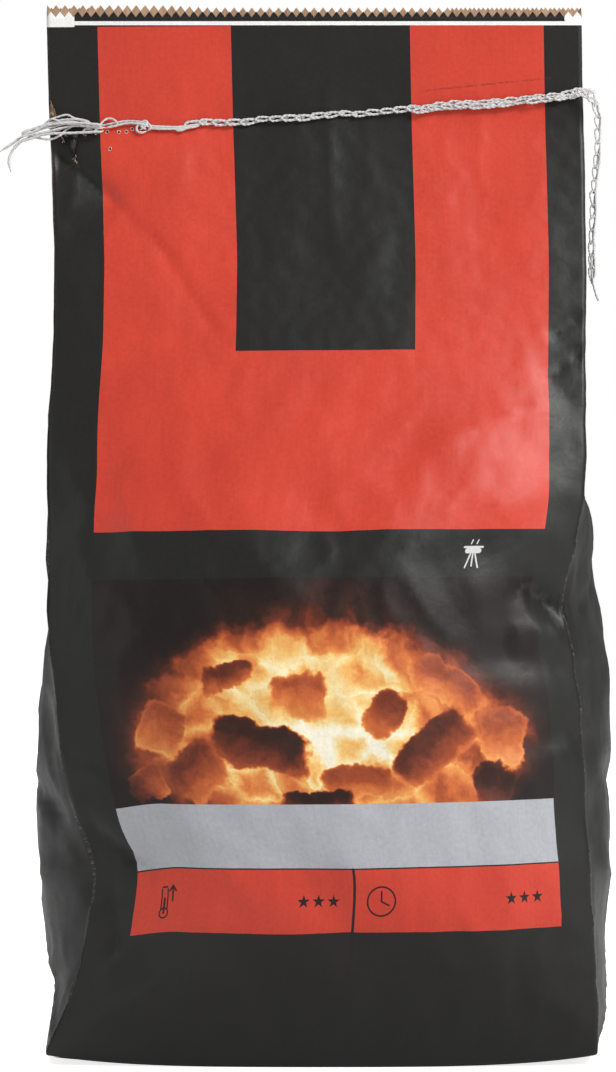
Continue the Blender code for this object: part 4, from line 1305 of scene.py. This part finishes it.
def torn_sheet(name, outline, bulge, columns, surface):
    """A small torn piece of paper over a four-cornered outline of places on the front, bulging forward."""
    mesh_builder = bmesh.new()
    corners = [Vector((x, 0, z)) for x, z in outline]
    grid = []
    for i in range(columns + 1):
        row = []
        for k in range(columns + 1):
            a, b = k / columns, i / columns
            spot = corners[0].lerp(corners[1], a).lerp(corners[3].lerp(corners[2], a), b)
            ragged = 0.0004 * noise.noise(Vector((spot.x, 0, spot.z)) * 900)
            out = bulge * math.sin(math.pi * min(1.0, 0.15 + 0.85 * (1 - a))) * (0.35 + 0.65 * b)
            y = front_surface(max(spot.x, -0.1385), spot.z) - 0.0004 - out
            row.append(mesh_builder.verts.new((spot.x + ragged, y, spot.z + ragged)))
        grid.append(row)
    for i in range(columns):
        for k in range(columns):
            mesh_builder.faces.new((grid[i][k], grid[i][k + 1], grid[i + 1][k + 1], grid[i + 1][k]))
    bmesh.ops.solidify(mesh_builder, geom=mesh_builder.faces[:], thickness=OUTER_THICKNESS)
    bmesh.ops.recalc_face_normals(mesh_builder, faces=mesh_builder.faces)
    lay_paper_uv(mesh_builder, lambda spot: (spot.x, spot.z))
    finished_piece(name, mesh_builder, [surface], ["outer_ply"])


torn_sheet("torn_flap", ((-0.1302, 0.4835), (-0.1248, 0.4768), (-0.1272, 0.4636), (-0.1336, 0.4760)), 0.0030, 12,
           outer_print)
torn_sheet("torn_edge", ((-0.1398, 0.4950), (-0.1366, 0.4872), (-0.1372, 0.4850), (-0.1404, 0.4862)), 0.0004, 8,
           kraft)
fibre_builder = bmesh.new()
for x, z, count in ((-0.1330, 0.4755, 16), (-0.1300, 0.4715, 10), (-0.1272, 0.4640, 9), (-0.1385, 0.4880, 8)):
    for fibre in range(count):
        start = Vector((x + chance.uniform(-0.0014, 0.0014), 0, z + chance.uniform(-0.0016, 0.0016)))
        start.y = front_surface(max(start.x, -0.1385), start.z) - chance.uniform(0.0002, 0.0022)
        reach = Vector([chance.uniform(-0.0016, 0.0016), chance.uniform(-0.0012, 0.0002),
                        chance.uniform(-0.0022, 0.0010)])
        yarn_along(fibre_builder, [start, start + reach * 0.5, start + reach], chance.uniform(0.0003, 0.0006))
bmesh.ops.recalc_face_normals(fibre_builder, faces=fibre_builder.faces)
torn_kraft, tree, shader = new_material("torn_kraft_fibre")
place = add(tree, "TexCoord").outputs["Object"]
strand_tone = add(tree, "TexNoise", {"Vector": place, "Scale": 900.0, "Detail": 2.0})
strand_tint = add(tree, "Mix", {"Factor": strand_tone, "A": linear("#7D5C42"), "B": linear("#CDB49C")},
                  data_type="RGBA")
strand_bump = add(tree, "Bump", {"Strength": 0.5, "Distance": 0.0001, "Height": strand_tone.outputs[0]})
feed(tree, shader, {"Base Color": strand_tint, "Roughness": 0.9, "Normal": strand_bump})
finished_piece("torn_fibres", fibre_builder, [torn_kraft], ["inner_ply"], smooth=False)

hole_dark, tree, shader = new_material("needle_hole_shadow")
place = add(tree, "TexCoord").outputs["Object"]
depth_tone = add(tree, "TexNoise", {"Vector": place, "Scale": 1400.0, "Detail": 2.0})
depth_tint = add(tree, "Mix", {"Factor": depth_tone, "A": linear("#0E0C0B"), "B": linear("#33251C")},
                 data_type="RGBA")
feed(tree, shader, {"Base Color": depth_tint, "Roughness": 0.95})
burr_builder = bmesh.new()
HOLES = ((-0.1219, 0.4770), (-0.1160, 0.4776), (-0.1101, 0.4781), (-0.1041, 0.4780), (-0.1002, 0.4784),
         (-0.0971, 0.4796), (-0.1084, 0.4691))
HOLE_SIDES = 14
dark_faces = []
for x, z in HOLES:
    middle = Vector((x, front_surface(x, z), z))
    lip, rim, well = [], [], []
    for k in range(HOLE_SIDES):
        angle = 2 * math.pi * k / HOLE_SIDES
        ragged = 1 + chance.uniform(-0.45, 0.35)
        way = Vector((math.cos(angle), 0, math.sin(angle) * 1.15)) * ragged
        for ring, radius, raised in ((lip, 0.00095, 0.00005), (rim, 0.00082, 0.0003 * ragged),
                                     (well, 0.00068, 0.00015)):
            ring.append(burr_builder.verts.new(middle + way * radius - Vector((0, raised, 0))))
    for k in range(HOLE_SIDES):
        n = (k + 1) % HOLE_SIDES
        burr_builder.faces.new((lip[k], lip[n], rim[n], rim[k]))
        burr_builder.faces.new((rim[k], rim[n], well[n], well[k]))
    dark_faces.append(burr_builder.faces.new(well))
    dark_faces.append(burr_builder.faces.new(lip[::-1]))
for face in dark_faces:
    face.material_index = 1
bmesh.ops.recalc_face_normals(burr_builder, faces=burr_builder.faces)
lay_paper_uv(burr_builder, lambda spot: (spot.x * 3, spot.z * 3))
finished_piece("needle_burrs", burr_builder, [bare_paper, hole_dark], ["outer_ply"], smooth=False)


# ---------------------------------------------------------------------------------------------------------
# The studio: a pale floor that fades into a white room, a large soft light at the right of the front, a weak
# one at either side, one behind, and a level camera with a long lens.
# ---------------------------------------------------------------------------------------------------------

ROOM_LIGHT = 0.27
FLOOR_GLOW = 0.80
floor_mesh = bpy.data.meshes.new("floor")
floor_mesh.from_pydata([(-6, -6, 0), (6, -6, 0), (6, 6, 0), (-6, 6, 0)], [], [(0, 1, 2, 3)])
floor = bpy.data.objects.new("floor", floor_mesh)
bpy.context.scene.collection.objects.link(floor)
floor_white, tree, shader = new_material("pale_floor")
seen = add(tree, "LightPath")
glow = add(tree, "MapRange", {0: seen.outputs["Is Camera Ray"], 3: 0.0, 4: FLOOR_GLOW})
feed(tree, shader, {"Base Color": (0.75, 0.75, 0.75, 1), "Roughness": 0.9, "Emission Color": (1, 1, 1, 1),
                    "Emission Strength": glow})
floor_mesh.materials.append(floor_white)

world = bpy.data.worlds.new("studio")
bpy.context.scene.world = world
world.use_nodes = True
tree = world.node_tree
seen = add(tree, "LightPath")
strength = add(tree, "MapRange", {0: seen.outputs["Is Camera Ray"], 3: ROOM_LIGHT, 4: 1.0})
feed(tree, tree.nodes["Background"], {"Color": (1, 1, 1, 1), "Strength": strength})


# The softboxes: where each stands, the height on the sack that it points at, its size, and its power.
for name, spot, aim, width, height, power in (
    ("key_softbox", (2.00, -1.60, 2.40), 0.30, 1.5, 1.0, 92),
    ("left_softbox", (-1.7, -0.9, 0.8), 0.30, 0.8, 1.2, 4),
    ("right_softbox", (1.7, -1.0, 0.7), 0.25, 0.8, 1.2, 4),
    ("back_softbox", (-0.9, 2.4, 2.6), 0.30, 2.0, 1.4, 90),
):
    light = bpy.data.lights.new(name, "AREA")
    light.shape = "RECTANGLE"
    light.size = width
    light.size_y = height
    light.energy = power
    lamp = bpy.data.objects.new(name, light)
    lamp.location = spot
    lamp.rotation_euler = (Vector((0, 0, aim)) - Vector(spot)).to_track_quat("-Z", "Y").to_euler()
    bpy.context.scene.collection.objects.link(lamp)

camera_data = bpy.data.cameras.new("camera")
camera_data.sensor_fit = "VERTICAL"
camera_data.sensor_height = 36
camera_data.lens = 114.1
camera = bpy.data.objects.new("camera", camera_data)
camera.location = (-0.0052, -1.78, 0.267)
camera.rotation_euler = (math.pi / 2, 0, 0)
bpy.context.scene.collection.objects.link(camera)
bpy.context.scene.camera = camera
bpy.context.scene.view_settings.view_transform = "Standard"
